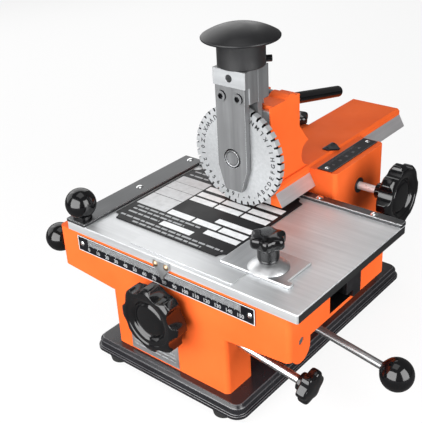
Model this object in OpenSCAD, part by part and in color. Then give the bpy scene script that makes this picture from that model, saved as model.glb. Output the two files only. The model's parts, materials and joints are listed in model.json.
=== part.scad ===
// Bench machine that marks nameplates with a hand-turned type wheel.
// X runs along the table, Y from front to back, Z up. Lengths are in millimetres.
// The design places Y = 0 at the table's centre line, X = 0 at the machine's centre plane and
// Z = 0 at the floor; the finished part is shifted so that its box stands centred on the origin.

/* [Base] */
// Width of the base plate
base_w = 152.5; // [146:0.5:160]
// Depth of the base plate
base_d = 241; // [238:1:260]
// How far the base plate reaches in front of the bed
base_step = 9.8; // [6:0.1:16]
// How far the base plate's middle stands to the left of the centre plane
base_shift = 3.2; // [0:0.1:6]
// Thickness of the base plate
base_t = 10.7; // [8:0.1:16]
// Corner radius of the base plate
base_r = 10; // [8:1:20]
// Height of the thin lip around the base plate's foot
base_lip_h = 3; // [2:0.5:5]
// How far the lip stands out
base_lip = 2; // [1:0.5:3]
// Bevel along the base plate's upper edge
base_bevel = 2.4; // [1:0.2:4]
// Height of the rubber feet
foot_h = 5.6; // [4:0.1:10]
// Radius of the rubber feet
foot_r = 9; // [7:0.5:9]
// From the base plate's sides to the middle of a foot
foot_side = 22; // [14:0.5:24]
// From the base plate's front and rear edges to the middle of a foot
foot_end = 9; // [9:0.5:24]

/* [Bed casting] */
// Width of the bed along the table's travel
bed_w = 223.5; // [214:0.5:230]
// How far the bed's middle stands to the left of the centre plane
bed_shift = 1.75; // [0:0.25:3]
// Depth of the bed
bed_d = 124.5; // [118:0.5:128]
// Thickness of the bed
bed_t = 25.5; // [24:0.5:30]
// Corner radius of the bed
bed_r = 4; // [3:0.5:6]
// Height of the front leg, base plate to bed
leg_h = 64.5; // [60:0.5:75]
// Width of the front leg
leg_w = 114; // [100:1:125]
// How far the front leg's middle stands to the left of the centre plane
leg_shift = 1.5; // [0:0.25:3]
// Depth of the front leg
leg_d = 30; // [28:1:36]
// How far the apron hangs below the bed at its ends
apron_drop = 9.8; // [8:0.1:12]
// How much deeper the apron hangs beside the leg
apron_slope = 4.5; // [0:0.5:6]
// Thickness of the apron
apron_t = 10; // [8:0.5:12]
// Radius of the round ears that hold the stop rod
ear_r = 10.5; // [9:0.5:12]
// Thickness of the ears
ear_t = 12; // [8:1:16]
// How far the ears hang below the stop rod
ear_drop = 7; // [0:0.5:9]
// From the bed's front face to the slot for the slide bar
slot_setback = 48.7; // [46:0.1:50]
// Width of the slot for the slide bar
slot_w = 37.1; // [34:0.1:40]
// Metal left under the slot
slot_floor_t = 2.9; // [2.5:0.1:4]
// Thickness of the strengthening web under the slot
web_t = 3.8; // [3:0.1:4]
// Width of the support under the rear of the bed
support_w = 50; // [40:1:60]
// Depth of the support under the rear of the bed
support_d = 20; // [14:1:24]

/* [Table] */
// Width of the table
table_w = 220; // [210:1:230]
// Depth of the table
table_d = 143.5; // [140:0.5:146]
// Thickness of the table
table_t = 6.8; // [6:0.1:9]
// How far the table stands to the right of the centre plane
table_shift = 6.7; // [0:0.1:12]
// How far the table stands out over the bed's front face
table_overhang = 0.25; // [0:0.05:0.5]
// Length of the slide bar
bar_l = 212; // [200:1:218]
// Width of the slide bar
bar_w = 19; // [17:0.5:20]
// Length of the gib in front of the slide bar
gib_l = 120; // [80:1:150]
// Width of the left rail
rail_w = 21; // [18:0.5:24]
// Thickness of the left rail
rail_t = 2.5; // [2:0.1:3]
// Width of the rear fence
fence_w = 8; // [6:0.5:10]
// Height of the rear fence
fence_h = 3; // [2:0.1:3.2]
// Width of the workpiece
plate_w = 115; // [90:1:116]
// Space between the left rail and the workpiece
plate_side = 2.4; // [1:0.1:4]
// Space between the workpiece and the rear fence
plate_gap = 2.9; // [1:0.1:6]
// Space between the workpiece and the locating strip
plate_setback = 5.3; // [4:0.05:14]
// Thickness of the workpiece
plate_t = 1; // [0.5:0.1:1.4]
// Radius of the notches in the workpiece's corners
plate_notch_r = 6.3; // [4:0.1:8]
// Length of the locating strip
strip_w = 97.7; // [80:0.1:100]
// Width of the locating strip
strip_d = 16.7; // [14:0.1:18]
// Thickness of the locating strip
strip_t = 0.8; // [0.6:0.1:1.2]
// Space between the locating strip and the table's front edge
strip_in = 3.75; // [2:0.05:6]
// Space between the workpiece and the side stop
stop_gap = 0.6; // [0.4:0.1:2]
// Length of the side stop plate
stop_plate_w = 55; // [50:1:66]
// Width of the side stop plate
stop_plate_d = 35; // [31:1:37]
// Thickness of the side stop plate
stop_plate_t = 2.5; // [2:0.1:3]
// Radius of the clamp's domed flange
flange_r = 15; // [13:0.5:16]
// Height of the clamp's domed flange
flange_h = 6.5; // [5:0.5:8]
// Height of the clamp's knob above the table
clamp_h = 29; // [27:0.5:36]
// Radius of the clamp's stud
stud_r = 4; // [3:0.5:5]

/* [Rear column] */
// Width of the column
column_w = 101.4; // [96:0.2:110]
// Space between the table and the column
column_gap = 6.65; // [4:0.05:12]
// Depth of the column
column_d = 76.6; // [72:0.2:78]
// Corner radius of the column
column_r = 4; // [3:0.5:6]
// Thickness of the column's walls
column_wall = 9; // [7:0.5:12]

/* [Arm] */
// From the table's centre line to the arm's front end
arm_front = 31.6; // [31:0.1:36]
// Length of the arm
arm_l = 198; // [180:1:210]
// Space between the table and the arm
arm_clear = 5.8; // [5.4:0.1:8]
// Half width of the dovetail at its foot
tail_foot = 31.6; // [28:0.1:34]
// Half width of the dovetail at its top
tail_top = 25.8; // [25:0.1:27]
// Height of the dovetail's flanks
tail_h = 10.5; // [9:0.5:12]
// Height of the arm's painted cap above the flanks
cap_h = 5.6; // [5:0.1:7]
// Bevel along the cap's upper edges
cap_bevel = 2; // [1:0.2:3]
// Half width of the riser at the arm's front
riser_half = 22; // [21:0.1:24.5]
// Depth of the riser
riser_d = 38.2; // [36:0.2:44]
// Height of the riser above the arm's cap
riser_h = 64; // [60:1:72]
// Thickness of the bare guide plate on the riser's front
guide_t = 4; // [3:0.5:5]

/* [Head] */
// Half width of the press slide
head_half = 15; // [14:0.1:17]
// Depth of the press slide's top block
head_d = 27.7; // [25:0.1:30]
// Stroke of the press
stroke = 5.7; // [4:0.1:5.7]
// Radius of the type wheel over its type
wheel_r = 40.4; // [38:0.1:41]
// Thickness of the type wheel
wheel_t = 5.2; // [4:0.2:6]
// Height of the raised type
type_h = 2.7; // [2:0.1:3]
// Number of type blocks on the wheel
type_count = 40; // [36:1:48]
// Radius of the wheel's axle
axle_r = 6.5; // [5:0.5:7]
// Space between the resting wheel and the table
wheel_lift = 7.2; // [7.1:0.1:9]
// Space between the wheel's rim and the press slide behind it
wheel_setback = 3.1; // [1:0.1:4]
// Space between the wheel and the top block above it
block_gap = 4; // [3:0.1:6]
// Thickness of the fork plate
fork_t = 4.8; // [3:0.1:5.5]
// Height of the top block above the wheel
block_h = 25.2; // [22:0.2:30]
// Radius of the press knob's neck
neck_r = 18; // [14:0.5:20]
// Height of the press knob's neck
neck_h = 20; // [16:0.5:23]
// Radius of the press knob's cap
cap_r = 29.3; // [26:0.1:34]
// Height of the press knob's cap
mushroom_h = 10.5; // [9:0.5:14]

/* [Knobs and levers] */
// Radius of the two lobed hand knobs
knob_r = 27.5; // [22:0.5:28]
// Thickness of the traverse knob
knob_t = 15.5; // [13:0.1:18]
// Thickness of the line feed knob
feed_knob_t = 12.5; // [10:0.1:15]
// Number of lobes on a hand knob
knob_lobes = 8; // [6:1:10]
// Space between the traverse knob and the bed
knob_gap = 6.5; // [5:0.1:9]
// Length of the boss behind the line feed knob
feed_boss_l = 12; // [6:0.5:16]
// Length of bright shaft between the column and the line feed knob
feed_reach = 29.5; // [22:0.5:36]
// From the column's front face to the line feed shaft
feed_setback = 36.6; // [34:0.1:42]
// Radius of the traverse and line feed shafts
shaft_r = 3.3; // [3:0.1:4]
// Wall of the shafts' bushes
bush_wall = 2; // [1.5:0.1:2]
// Length of the shafts' bushes
bush_l = 12; // [8:1:13]
// Radius of the black balls
ball_r = 12.25; // [10:0.25:13]
// Slope of the step lever, in degrees
droop = 9.7; // [8:0.1:11]
// Length of the step lever, shaft to ball
lever_l = 159.3; // [150:0.1:165]
// Radius of the step lever's rod
lever_r = 3; // [2.5:0.1:3.4]
// Radius of the stop rod
stop_r = 3; // [2.5:0.1:3]
// Stop ball's distance from the bed's left end
stop_reach = 20; // [19.5:0.5:24]
// Radius of the adjuster's rod
adjust_r = 3.2; // [2.6:0.1:3.6]
// Length of the adjuster's rod outside the leg
adjust_l = 57.4; // [45:0.1:60]
// Slope of the adjuster, in degrees
adjust_droop = 8.7; // [6:0.1:11]
// Height of the adjuster above the base plate
adjust_rise = 38.8; // [34:0.1:42]
// Radius of the star knobs
star_r = 13.2; // [11:0.1:14]
// Thickness of the star knobs
star_t = 9; // [7:0.5:12]
// Radius of the star knobs' stems
stem_r = 7.9; // [6.5:0.1:8.5]
// Length of the clamp lever behind the riser's pin
grip_l = 107; // [95:1:112]
// Radius of the clamp lever's grip
grip_r = 4.9; // [3.8:0.1:5.4]
// Slope of the clamp lever, in degrees
grip_droop = 12.2; // [8:0.1:13]

/* [Drive] */
// Module of both racks and pinions
gear_m = 1; // [0.8:0.05:1.1]
// Teeth of the traverse pinion
traverse_teeth = 28; // [26:1:30]
// Teeth of the line feed pinion
feed_teeth = 18; // [17:1:20]
// Play between rack and pinion teeth
backlash = 0.25; // [0.2:0.01:0.3]

/* [Scales] */
// Thickness of the scales
scale_t = 0.8; // [0.5:0.1:1]
// Height of the front scale
scale_h = 13.3; // [10:0.1:16]
// Length of the front scale
scale_l = 174.3; // [150:0.1:190]
// How far the front scale's middle stands left of the centre plane
scale_offset = 4.4; // [0:0.1:10]
// From the bed's top to the front scale
scale_drop = 1.8; // [1:0.1:4]
// Width of the column's scale
column_scale_w = 13.5; // [10:0.1:15]
// Width of the blank data plate
data_w = 50; // [40:1:60]
// Height of the blank data plate
data_h = 28; // [20:1:40]

/* [Clearances] */
// Gap under the table on the bed
slide_gap = 0.2; // [0.15:0.05:0.3]
// Gap on each sliding flank
flank_gap = 0.15; // [0.1:0.01:0.2]
// Radial gap of a shaft that turns
run_gap = 0.05; // [0.03:0.01:0.09]
// Radial gap of a pin that is seated
seat_gap = 0.02; // [0.01:0.005:0.03]
// Gap between parts that pass each other
pass_gap = 0.3; // [0.3:0.05:0.5]

/* [Hidden] */
$fn = 64;

// Colours
orange = [0.93, 0.40, 0.12];
black = [0.07, 0.07, 0.08];
rubber = [0.10, 0.10, 0.10];
steel = [0.72, 0.73, 0.74];
dark_steel = [0.30, 0.31, 0.33];
chrome = [0.85, 0.86, 0.88];
brass = [0.78, 0.62, 0.30];
pale = [0.82, 0.85, 0.88];

// Heights
base_top = foot_h + base_t;
bed_bottom = base_top + leg_h;
bed_top = bed_bottom + bed_t;
table_z = bed_top + slide_gap;
table_top = table_z + table_t;
arm_z = table_top + arm_clear;
flank_top = arm_z + tail_h;
arm_top = flank_top + cap_h;
column_top = arm_top - scale_t - 2 * pass_gap;
riser_top = arm_top + riser_h;

// Ends along X
bed_left = -bed_shift - bed_w / 2;
bed_right = bed_w / 2 - bed_shift;
leg_left = -leg_shift - leg_w / 2;
leg_right = leg_w / 2 - leg_shift;

// Fronts and middles along Y
bed_front = table_d / 2 - table_overhang;
base_front = bed_front + base_step;
column_front = table_d / 2 + column_gap;
base_mid_y = base_d / 2 - base_front;
bed_mid_y = bed_d / 2 - bed_front;
leg_mid_y = leg_d / 2 - bed_front;
slot_front = slot_setback - bed_front;
slot_back = slot_front + slot_w;
slot_floor = bed_bottom + slot_floor_t;
web_bottom = bed_bottom - web_t;
column_mid_y = column_front + column_d / 2;
support_y = slot_back + 14;

// Table and its slide bar
bar_back = slot_back - pass_gap;
bar_front = bar_back - bar_w;
bar_bottom = slot_floor + pass_gap;
rack_w = 9;
rack_t = 6;
tooth_up = 0.9 * gear_m;
tooth_down = 1.25 * gear_m;
pitch = PI * gear_m;
traverse_tip = bar_bottom + pass_gap;
traverse_pitch_r = gear_m * traverse_teeth / 2;
traverse_z = traverse_tip + tooth_up - traverse_pitch_r;
traverse_y = bar_front + rack_w / 2;
traverse_face = rack_w - 2;
traverse_rack_l = 176;
table_left = table_shift - table_w / 2;
table_right = table_shift + table_w / 2;
rail_mid_x = table_left + rail_w / 2;
rail_screw_in = 5.75;
rail_screw_y = [1, table_d / 2 - rail_screw_in];
rail_knob_in = 8.3;
rail_knob_y = rail_knob_in - table_d / 2;
rail_knob_h = 15.5;
fence_gap = 1.5;
fence_left = table_left + rail_w + fence_gap;
fence_w_x = table_right - fence_left;
fence_mid_y = table_d / 2 - fence_w / 2;
fence_screws = 4;
screw_head_r = 3.2;
screw_head_h = 1.4;
screw_r = 1.6;
screw_l = 5;
strip_x = 5.2;
strip_back = strip_in + strip_d - table_d / 2;
strip_mid = [table_shift + strip_x, strip_back - strip_d / 2];
plate_left = table_left + rail_w + plate_side;
plate_back = table_d / 2 - fence_w - plate_gap;
plate_d = plate_back - strip_back - plate_setback;
plate_mid = [plate_left + plate_w / 2, plate_back - plate_d / 2];
stop_plate_front = strip_back + pass_gap;
stop_plate_left = plate_left + plate_w + stop_gap;
stop_plate_mid = [stop_plate_left + stop_plate_w / 2, stop_plate_front + stop_plate_d / 2];
stop_tab_w = 5;
stop_tab_d = 6;
clamp_x = 33.6;
clamp_in = 13.1;
clamp_mid = [stop_plate_left + clamp_x, stop_plate_front + clamp_in];
flange_z = table_top + stop_plate_t + pass_gap;

// Scales and pointers
scale_left = -scale_offset - scale_l / 2;
scale_right = scale_l / 2 - scale_offset;
scale_z = bed_top - scale_drop - scale_h;
rivet_r = 1.4;
rivet_head_r = 2.1;
rivet_head_h = 0.8;
rivet_l = 4;
rivet_in = 4.5;
column_scale_l = column_d - 4;
column_scale_x = 38.8;
data_t = 0.6;
data_mid_x = -16.8;
data_lift = 1.5;
pointer_w = 15;
pointer_t = 1.5;
pointer_back = bed_front + scale_t + pass_gap - table_d / 2;
pointer_front = pointer_back + pointer_t;
pointer_tip_w = 6;
pointer_reach = 8.5;
pointer_screw_x = 5.2;
arm_pointer_y = 119;
arm_pointer_x = 19;
arm_pointer_w = 14.4;
arm_pointer_back = 2.4;
arm_pointer_reach = 9.8;
arm_pointer_t = 1.2;
arm_screw_y = 5;

// Traverse shaft, ratchet and step lever
bush_r = shaft_r + run_gap + bush_wall;
bush_flange_r = bush_r + 1.2;
bush_flange_t = 0.6;
traverse_knob_back = -bed_front - knob_gap;
ratchet_teeth = 24;
ratchet_r = 11;
ratchet_root_r = 9;
ratchet_t = 6;
hub_r = 10.8;
hub_l = 9;
hub_y = traverse_y - traverse_face / 2 - 1 - hub_l;
ratchet_y = hub_y - 1 - ratchet_t;
pawl_gap = 0.8;
pawl_t = 4;
lug_w = 20;
lug_l = 8;
lug_y = traverse_y + traverse_face / 2 + 2;
lug_drop = 9;
window_half = traverse_pitch_r + 4;

// Stop rod and adjuster
ball_bore_end = ball_r * 0.4;
stop_y = 14 - bed_front;
stop_z = bed_bottom + 1.2;
stop_x = bed_left - stop_reach;
stop_end = bed_right - 0.5;
bed_end_wall = 15;
pocket_w = 17;
collar_r = stop_r + 1.2;
pocket_floor = stop_z - stop_r - 0.4;
well_floor = stop_z - collar_r - 0.4;
well_wall = 3;
collar_l = 8;
collar_x = -60;
well_left = collar_x - 18;
well_right = collar_x + collar_l + 12;
adjust_y = leg_mid_y;
adjust_z = base_top + adjust_rise;
adjust_in = 14;

// Column, line feed and arm lock
rack_channel = rack_w / 2 + 0.5;
feed_pitch_r = gear_m * feed_teeth / 2;
feed_z = arm_z - feed_pitch_r;
feed_y = column_front + feed_setback;
feed_face = rack_w - 2;
feed_in = 18;
feed_knob_back = column_w / 2 + feed_reach;
arm_rack_l = 130;
arm_rack_setback = 40;
arm_rack_y = arm_front + arm_rack_setback;
column_roof = feed_z - feed_pitch_r - 2.5 - column_wall;
lock_x = -38;
lock_y = column_front + column_d - 6;
lock_stud_r = 3;
lock_stud_l = 14;
lock_gap = 2.3;
lock_star_r = 14;
lock_star_t = 8;

// Riser, guide and head
riser_back = arm_front + riser_d;
guide_half = riser_half - 1;
guide_top = riser_top - 3;
gusset_z = arm_top + 20;
gusset_back = riser_back + 13.2;
gusset_start = gusset_z + 17;
notch_r = 10.5;
notch_z = gusset_z - notch_r + 1;
pin_r = 3;
pin_cover = 4;
pin_setback = 27;
pin_y = arm_front + pin_setback;
pin_z = riser_top - 5;
pin_boss_r = 8;
slit_half = 5.3;
slit_front = pin_y - pin_boss_r - 2;
slit_bottom = pin_z - 24;
tail_neck = 8;
tail_wide = 11;
tail_d = 7.5;
head_gap = 0.3;
head_back = arm_front - head_gap;
slide_t = 5.3;
slide_front = head_back - slide_t;
wheel_gap = 0.5;
wheel_back = slide_front - wheel_setback;
wheel_front = wheel_back - wheel_t;
fork_back = wheel_front - wheel_gap - 0.4;
fork_front = fork_back - fork_t;
block_back = fork_front + head_d;
head_mid_y = (fork_front + block_back) / 2 + 1.4;
axle_z = table_top + wheel_lift + wheel_r;
block_z = axle_z + wheel_r + block_gap;
block_top = block_z + block_h;
lip_h = 12.6;
slide_bottom = arm_top + stroke + 1;
tail_lift = 28;
tail_bottom = slide_bottom + tail_lift;
tail_end = block_z + 4;
groove_floor = slide_bottom - stroke - 0.5;
spring_r = 3;
axle_proud = 0.4;
axle_relief_r = axle_r + 1.4;
axle_relief_d = 1.2;
fork_half = head_half - 1.4;
lip_proud = 0.4;
lip_hole_r = 2.9;
fork_top = block_top - lip_h - 0.2;
fork_tip_half = 7.7;
fork_knee = 7.8;
fork_tip = 27;
fork_screw_x = 7.7;
fork_screw_z = block_z + 4.6;
cap_screw_r = 2.4;
cap_screw_head_r = 4.25;
cap_screw_head_h = 3;
cap_screw_proud = 1.5;
cap_screw_l = 12;
disc_r = wheel_r - type_h;
type_w = 4.6;
hub_proud = 0.2;
plunger_r = 2;
plunger_at = [10, 28];
lock_screw_r = 2.6;
lock_screw_l = 9;
lock_screw_z = 3.4;

// Extents of the finished part, which place its origin
lever_x = lever_l * cos(droop);
right_x = lever_x + ball_r;
left_x = stop_x - ball_r;
front_y = traverse_knob_back - knob_t;
back_y = arm_front + arm_l;
mid_x = (left_x + right_x) / 2;
mid_y = (front_y + back_y) / 2;

module placed() translate([-mid_x, -mid_y, 0]) children();

// Solids of revolution along the axes
module rod_x(r, x0, x1) translate([x0, 0, 0]) rotate([0, 90, 0]) cylinder(h = x1 - x0, r = r);
module rod_y(r, y0, y1) translate([0, y0, 0]) rotate([-90, 0, 0]) cylinder(h = y1 - y0, r = r);
module rod_z(r, z0, z1) translate([0, 0, z0]) cylinder(h = z1 - z0, r = r);

// Box from its low to its high corner
module box(low, high) translate(low) cube(high - low);

// Outline drawn in X and Z, from y0 back to y1
module front_extrude(y0, y1) translate([0, y1, 0]) rotate([90, 0, 0]) linear_extrude(y1 - y0) children();

// Outline drawn in Y and Z, from x0 right to x1
module side_extrude(x0, x1) translate([x0, 0, 0]) rotate([90, 0, 90]) linear_extrude(x1 - x0) children();

module rounded_rect(w, d, r) {
    square([w - 2 * r, d], center = true);
    square([w, d - 2 * r], center = true);
    for (sx = [-1, 1], sy = [-1, 1]) translate([sx * (w / 2 - r), sy * (d / 2 - r)]) circle(r);
}

// Flat plate with round corners and a bevel along its upper edge
module bevel_plate(w, d, r, h, c) {
    translate([-(w / 2 - r), 0, 0]) rotate([90, 0, 90]) linear_extrude(w - 2 * r) bevel_outline(d, h, c);
    translate([0, d / 2 - r, 0]) rotate([90, 0, 0]) linear_extrude(d - 2 * r) bevel_outline(w, h, c);
    for (sx = [-1, 1], sy = [-1, 1]) translate([sx * (w / 2 - r), sy * (d / 2 - r), 0]) {
        cylinder(h = h - c, r = r);
        translate([0, 0, h - c]) cylinder(h = c, r1 = r, r2 = r - c);
    }
}

module bevel_outline(w, h, c)
    polygon([[-w / 2, 0], [w / 2, 0], [w / 2, h - c], [w / 2 - c, h], [c - w / 2, h], [-w / 2, h - c]]);

// Round-headed screw or rivet standing on z = 0, its shank below
module domed(head_r, head_h, shank_r, shank_l) {
    rotate_extrude() intersection() {
        translate([0, head_h - (head_r * head_r + head_h * head_h) / (2 * head_h)])
            circle((head_r * head_r + head_h * head_h) / (2 * head_h));
        square([head_r, head_h]);
    }
    rod_z(shank_r, -shank_l, 0);
}

// Tooth flanks on the involute of the pitch circle
function pressure_angle() = 20;
function involute_turn(r, base_r) =
    let (t = sqrt(max(0, r * r / (base_r * base_r) - 1))) t * 180 / PI - atan(t);
function tooth_half_angle(r, pitch_r) =
    (pitch / 2 - backlash) / (2 * pitch_r) * 180 / PI
    + involute_turn(pitch_r, pitch_r * cos(pressure_angle()))
    - involute_turn(r, pitch_r * cos(pressure_angle()));
function polar(r, a) = [r * cos(a), r * sin(a)];

// Spur gear outline with one tooth pointing up
module gear_outline(teeth) {
    pitch_r = gear_m * teeth / 2;
    tip_r = pitch_r + tooth_up;
    root_r = pitch_r - tooth_down;
    start_r = max(root_r + 0.1, pitch_r * cos(pressure_angle()));
    steps = 4;
    radii = [for (i = [0:steps]) start_r + (tip_r - start_r) * i / steps];
    polygon([for (k = [0:teeth - 1]) let (mid = 90 + k * 360 / teeth) each concat(
        [polar(root_r, mid - tooth_half_angle(start_r, pitch_r))],
        [for (r = radii) polar(r, mid - tooth_half_angle(r, pitch_r))],
        [for (i = [steps:-1:0]) polar(radii[i], mid + tooth_half_angle(radii[i], pitch_r))],
        [polar(root_r, mid + tooth_half_angle(start_r, pitch_r))]
    )]);
}

// Rack outline with its tips down at y = 0 and a gap at x = 0
module rack_outline(length, height) {
    half = (pitch / 2 - backlash) / 2;
    tip_half = half - tooth_up * tan(pressure_angle());
    root_half = half + tooth_down * tan(pressure_angle());
    root = tooth_up + tooth_down;
    count = floor(length / pitch / 2);
    union() {
        translate([-length / 2, root]) square([length, height - root]);
        for (k = [-count:count - 1]) translate([(k + 0.5) * pitch, 0])
            polygon([[-tip_half, 0], [tip_half, 0], [root_half, root], [root_half, root + 0.4],
                     [-root_half, root + 0.4], [-root_half, root]]);
    }
}

// Saw-toothed outline of the ratchet wheel
module ratchet_outline()
    polygon([for (k = [0:ratchet_teeth - 1]) let (a = k * 360 / ratchet_teeth) each
        [polar(ratchet_r, a), polar(ratchet_root_r, a + 2)]]);

// Hand knob with scalloped rim, its back at z = 0 and its dished face up
module hand_knob(t, boss_l) {
    scallop_r = knob_r * 0.34;
    scallop_at = knob_r + scallop_r * 0.5;
    dish_r = knob_r * 1.5;
    dish_depth = 4;
    boss_r = knob_r * 0.24;
    back_r = knob_r * 0.9;
    flare_h = 2;
    difference() {
        union() {
            intersection() {
                linear_extrude(t - 2) difference() {
                    circle(knob_r);
                    for (k = [0:knob_lobes - 1]) rotate((k + 0.5) * 360 / knob_lobes)
                        translate([scallop_at, 0]) circle(scallop_r);
                }
                union() {
                    cylinder(h = flare_h, r1 = back_r, r2 = knob_r);
                    rod_z(knob_r + 1, flare_h, t);
                }
            }
            cylinder(h = t, r1 = back_r - 3, r2 = knob_r * 0.8);
            rod_z(boss_r, -boss_l, 1);
        }
        translate([0, 0, t - dish_depth + dish_r]) sphere(dish_r);
        rod_z(shaft_r + seat_gap, -boss_l - 1, t / 2);
    }
}

// Star knob with six round lobes, standing on z = 0
module star_solid(r, t) {
    lobe_r = r * 0.32;
    core_r = r * 0.8;
    linear_extrude(t - 1.5) {
        circle(core_r);
        for (k = [0:5]) rotate(k * 60) {
            translate([r - lobe_r, 0]) circle(lobe_r);
            translate([0, -lobe_r]) square([r - lobe_r, 2 * lobe_r]);
        }
    }
    cylinder(h = t, r1 = core_r, r2 = core_r * 0.8);
}

// Ball knob at the origin, its neck and blind bore towards -z
module ball_knob(rod_r) difference() {
    union() {
        sphere(ball_r);
        rod_z(rod_r + 2, 0.6 - ball_r, 0);
    }
    rod_z(rod_r + seat_gap, -2 * ball_r, 0.2 - ball_bore_end);
}

// Base

module base_plate() color(black) placed() translate([-base_shift, base_mid_y, foot_h]) {
    linear_extrude(base_lip_h) rounded_rect(base_w, base_d, base_r);
    bevel_plate(base_w - 2 * base_lip, base_d - 2 * base_lip, base_r - base_lip, base_t, base_bevel);
}

module rubber_feet() color(rubber) placed()
    for (sx = [-1, 1], sy = [-1, 1])
        translate([sx * (base_w / 2 - foot_side) - base_shift, base_mid_y + sy * (base_d / 2 - foot_end), 0])
            cylinder(h = foot_h, r1 = foot_r - 1, r2 = foot_r);

// Bed

module bed_outline() translate([-bed_shift, bed_mid_y]) rounded_rect(bed_w, bed_d, bed_r);

// Front view of the apron, deepest beside the leg
module apron_outline()
    polygon([[bed_left, bed_bottom + 1], [bed_left, bed_bottom - apron_drop],
             [leg_left, bed_bottom - apron_drop - apron_slope],
             [leg_right, bed_bottom - apron_drop - apron_slope],
             [bed_right, bed_bottom - apron_drop], [bed_right, bed_bottom + 1]]);

// Ear of the stop rod, standing from x to the right
module ear(x) {
    translate([x, stop_y, stop_z - ear_drop]) rod_x(ear_r, 0, ear_t);
    box([x, stop_y - ear_r, stop_z - ear_drop], [x + ear_t, stop_y + ear_r, bed_bottom + 1]);
}

module bed_solid() {
    translate([0, 0, bed_bottom]) linear_extrude(bed_t) bed_outline();
    intersection() {
        front_extrude(-bed_front, apron_t - bed_front) apron_outline();
        translate([0, 0, base_top]) linear_extrude(leg_h + 2) bed_outline();
    }
    translate([-leg_shift, leg_mid_y, base_top]) linear_extrude(leg_h + 1) rounded_rect(leg_w, leg_d, bed_r);
    box([bed_left + bed_end_wall, -bed_front + 1, web_bottom],
        [bed_right - bed_end_wall, support_y - 2, bed_bottom + 1]);
    box([well_left - well_wall, stop_y - pocket_w / 2 - 1, well_floor - well_wall],
        [well_right + well_wall, stop_y + pocket_w / 2 + well_wall, bed_bottom + 1]);
    ear(bed_left);
    ear(bed_right - ear_t);
    box([-lug_w / 2, lug_y, traverse_z - lug_drop], [lug_w / 2, lug_y + lug_l, bed_bottom]);
}

module bed_casting() color(orange) placed() difference() {
    bed_solid();
    box([-bed_w, slot_front, slot_floor], [bed_w, slot_back, bed_top + 1]);
    box([bed_left + bed_end_wall, stop_y - pocket_w / 2, pocket_floor],
        [bed_right - bed_end_wall, stop_y + pocket_w / 2, bed_top + 1]);
    box([well_left, stop_y - pocket_w / 2, well_floor], [well_right, stop_y + pocket_w / 2, bed_top]);
    box([-window_half, ratchet_y - 1.5, traverse_z], [window_half, lug_y - 1, slot_floor + 1]);
    translate([0, 0, traverse_z]) {
        rod_y(bush_r + seat_gap, -bed_front - 1, leg_d - bed_front + 1);
        rod_y(bush_flange_r + 1, leg_d - bed_front, ratchet_y);
        rod_y(shaft_r + run_gap, lug_y - 1, lug_y + lug_l + 1);
    }
    translate([0, stop_y, stop_z]) rod_x(stop_r + run_gap, -bed_w, bed_w);
    adjuster_place() rod_z(adjust_r + run_gap, -adjust_in - 1, 10);
    front_rivet_places() rod_z(rivet_r + seat_gap, -rivet_l - 1, 5);
}

module rear_support() color(orange) placed()
    translate([0, support_y + support_d / 2, base_top]) linear_extrude(leg_h)
        rounded_rect(support_w, support_d, bed_r);

module slide_gib() color(dark_steel) placed()
    box([-gib_l / 2, slot_front, slot_floor], [gib_l / 2, bar_front - flank_gap, bed_top - 2]);

// Column

module arm_outline(grow) {
    foot = tail_foot + grow;
    top = tail_top + grow;
    polygon([[-foot, arm_z - grow], [foot, arm_z - grow], [top, flank_top], [top, arm_top - cap_bevel],
             [top - cap_bevel, arm_top], [cap_bevel - top, arm_top], [-top, arm_top - cap_bevel],
             [-top, flank_top]]);
}

module rear_column() color(orange) placed() difference() {
    translate([0, column_mid_y, base_top]) linear_extrude(column_top - base_top)
        rounded_rect(column_w, column_d, column_r);
    box([column_wall - column_w / 2, column_front + column_wall, base_top - 1],
        [column_w / 2 - column_wall, column_front + column_d - column_wall, column_roof]);
    front_extrude(column_front - 1, column_front + column_d + 1) union() {
        arm_outline(flank_gap);
        translate([-tail_top - flank_gap, flank_top]) square([2 * (tail_top + flank_gap), 3 * cap_h]);
    }
    box([-rack_channel, column_front - 1, arm_z - tooth_up - 0.6],
        [rack_channel, column_front + column_d + 1, arm_z + 1]);
    box([-rack_channel, feed_y - feed_pitch_r - 2.5, feed_z - feed_pitch_r - 2.5],
        [rack_channel, feed_y + feed_pitch_r + 2.5, arm_z + 1]);
    translate([0, feed_y, feed_z]) rod_x(bush_r + seat_gap, -feed_in, column_w);
    translate([lock_x, lock_y, 0]) rod_z(lock_stud_r + run_gap, column_top - lock_stud_l - 1, column_top + 1);
    column_rivet_places() rod_z(rivet_r + seat_gap, -rivet_l - 1, 5);
}

// Scales, rivets and the blank data plate

module front_rivet_places()
    for (x = [scale_left + rivet_in, scale_right - rivet_in])
        translate([x, -bed_front - scale_t, scale_z + scale_h / 2]) rotate([90, 0, 0]) children();

module column_rivet_places()
    for (sy = [-1, 1])
        translate([column_scale_x, column_mid_y + sy * (column_scale_l / 2 - rivet_in), column_top + scale_t])
            children();

module front_scale() color(black) placed() difference() {
    box([scale_left, -bed_front - scale_t, scale_z], [scale_right, -bed_front, scale_z + scale_h]);
    front_rivet_places() rod_z(rivet_r + seat_gap, -5, 5);
}

module column_scale() color(black) placed() difference() {
    translate([column_scale_x, column_mid_y, column_top]) linear_extrude(scale_t)
        square([column_scale_w, column_scale_l], center = true);
    column_rivet_places() rod_z(rivet_r + seat_gap, -5, 5);
}

module scale_rivets() color(chrome) placed() {
    front_rivet_places() domed(rivet_head_r, rivet_head_h, rivet_r, rivet_l);
    column_rivet_places() domed(rivet_head_r, rivet_head_h, rivet_r, rivet_l);
}

module data_plate() color(pale) placed()
    box([data_mid_x - data_w / 2, -bed_front - data_t, base_top + data_lift],
        [data_mid_x + data_w / 2, -bed_front, base_top + data_lift + data_h]);

// Bushes of both shafts

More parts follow.
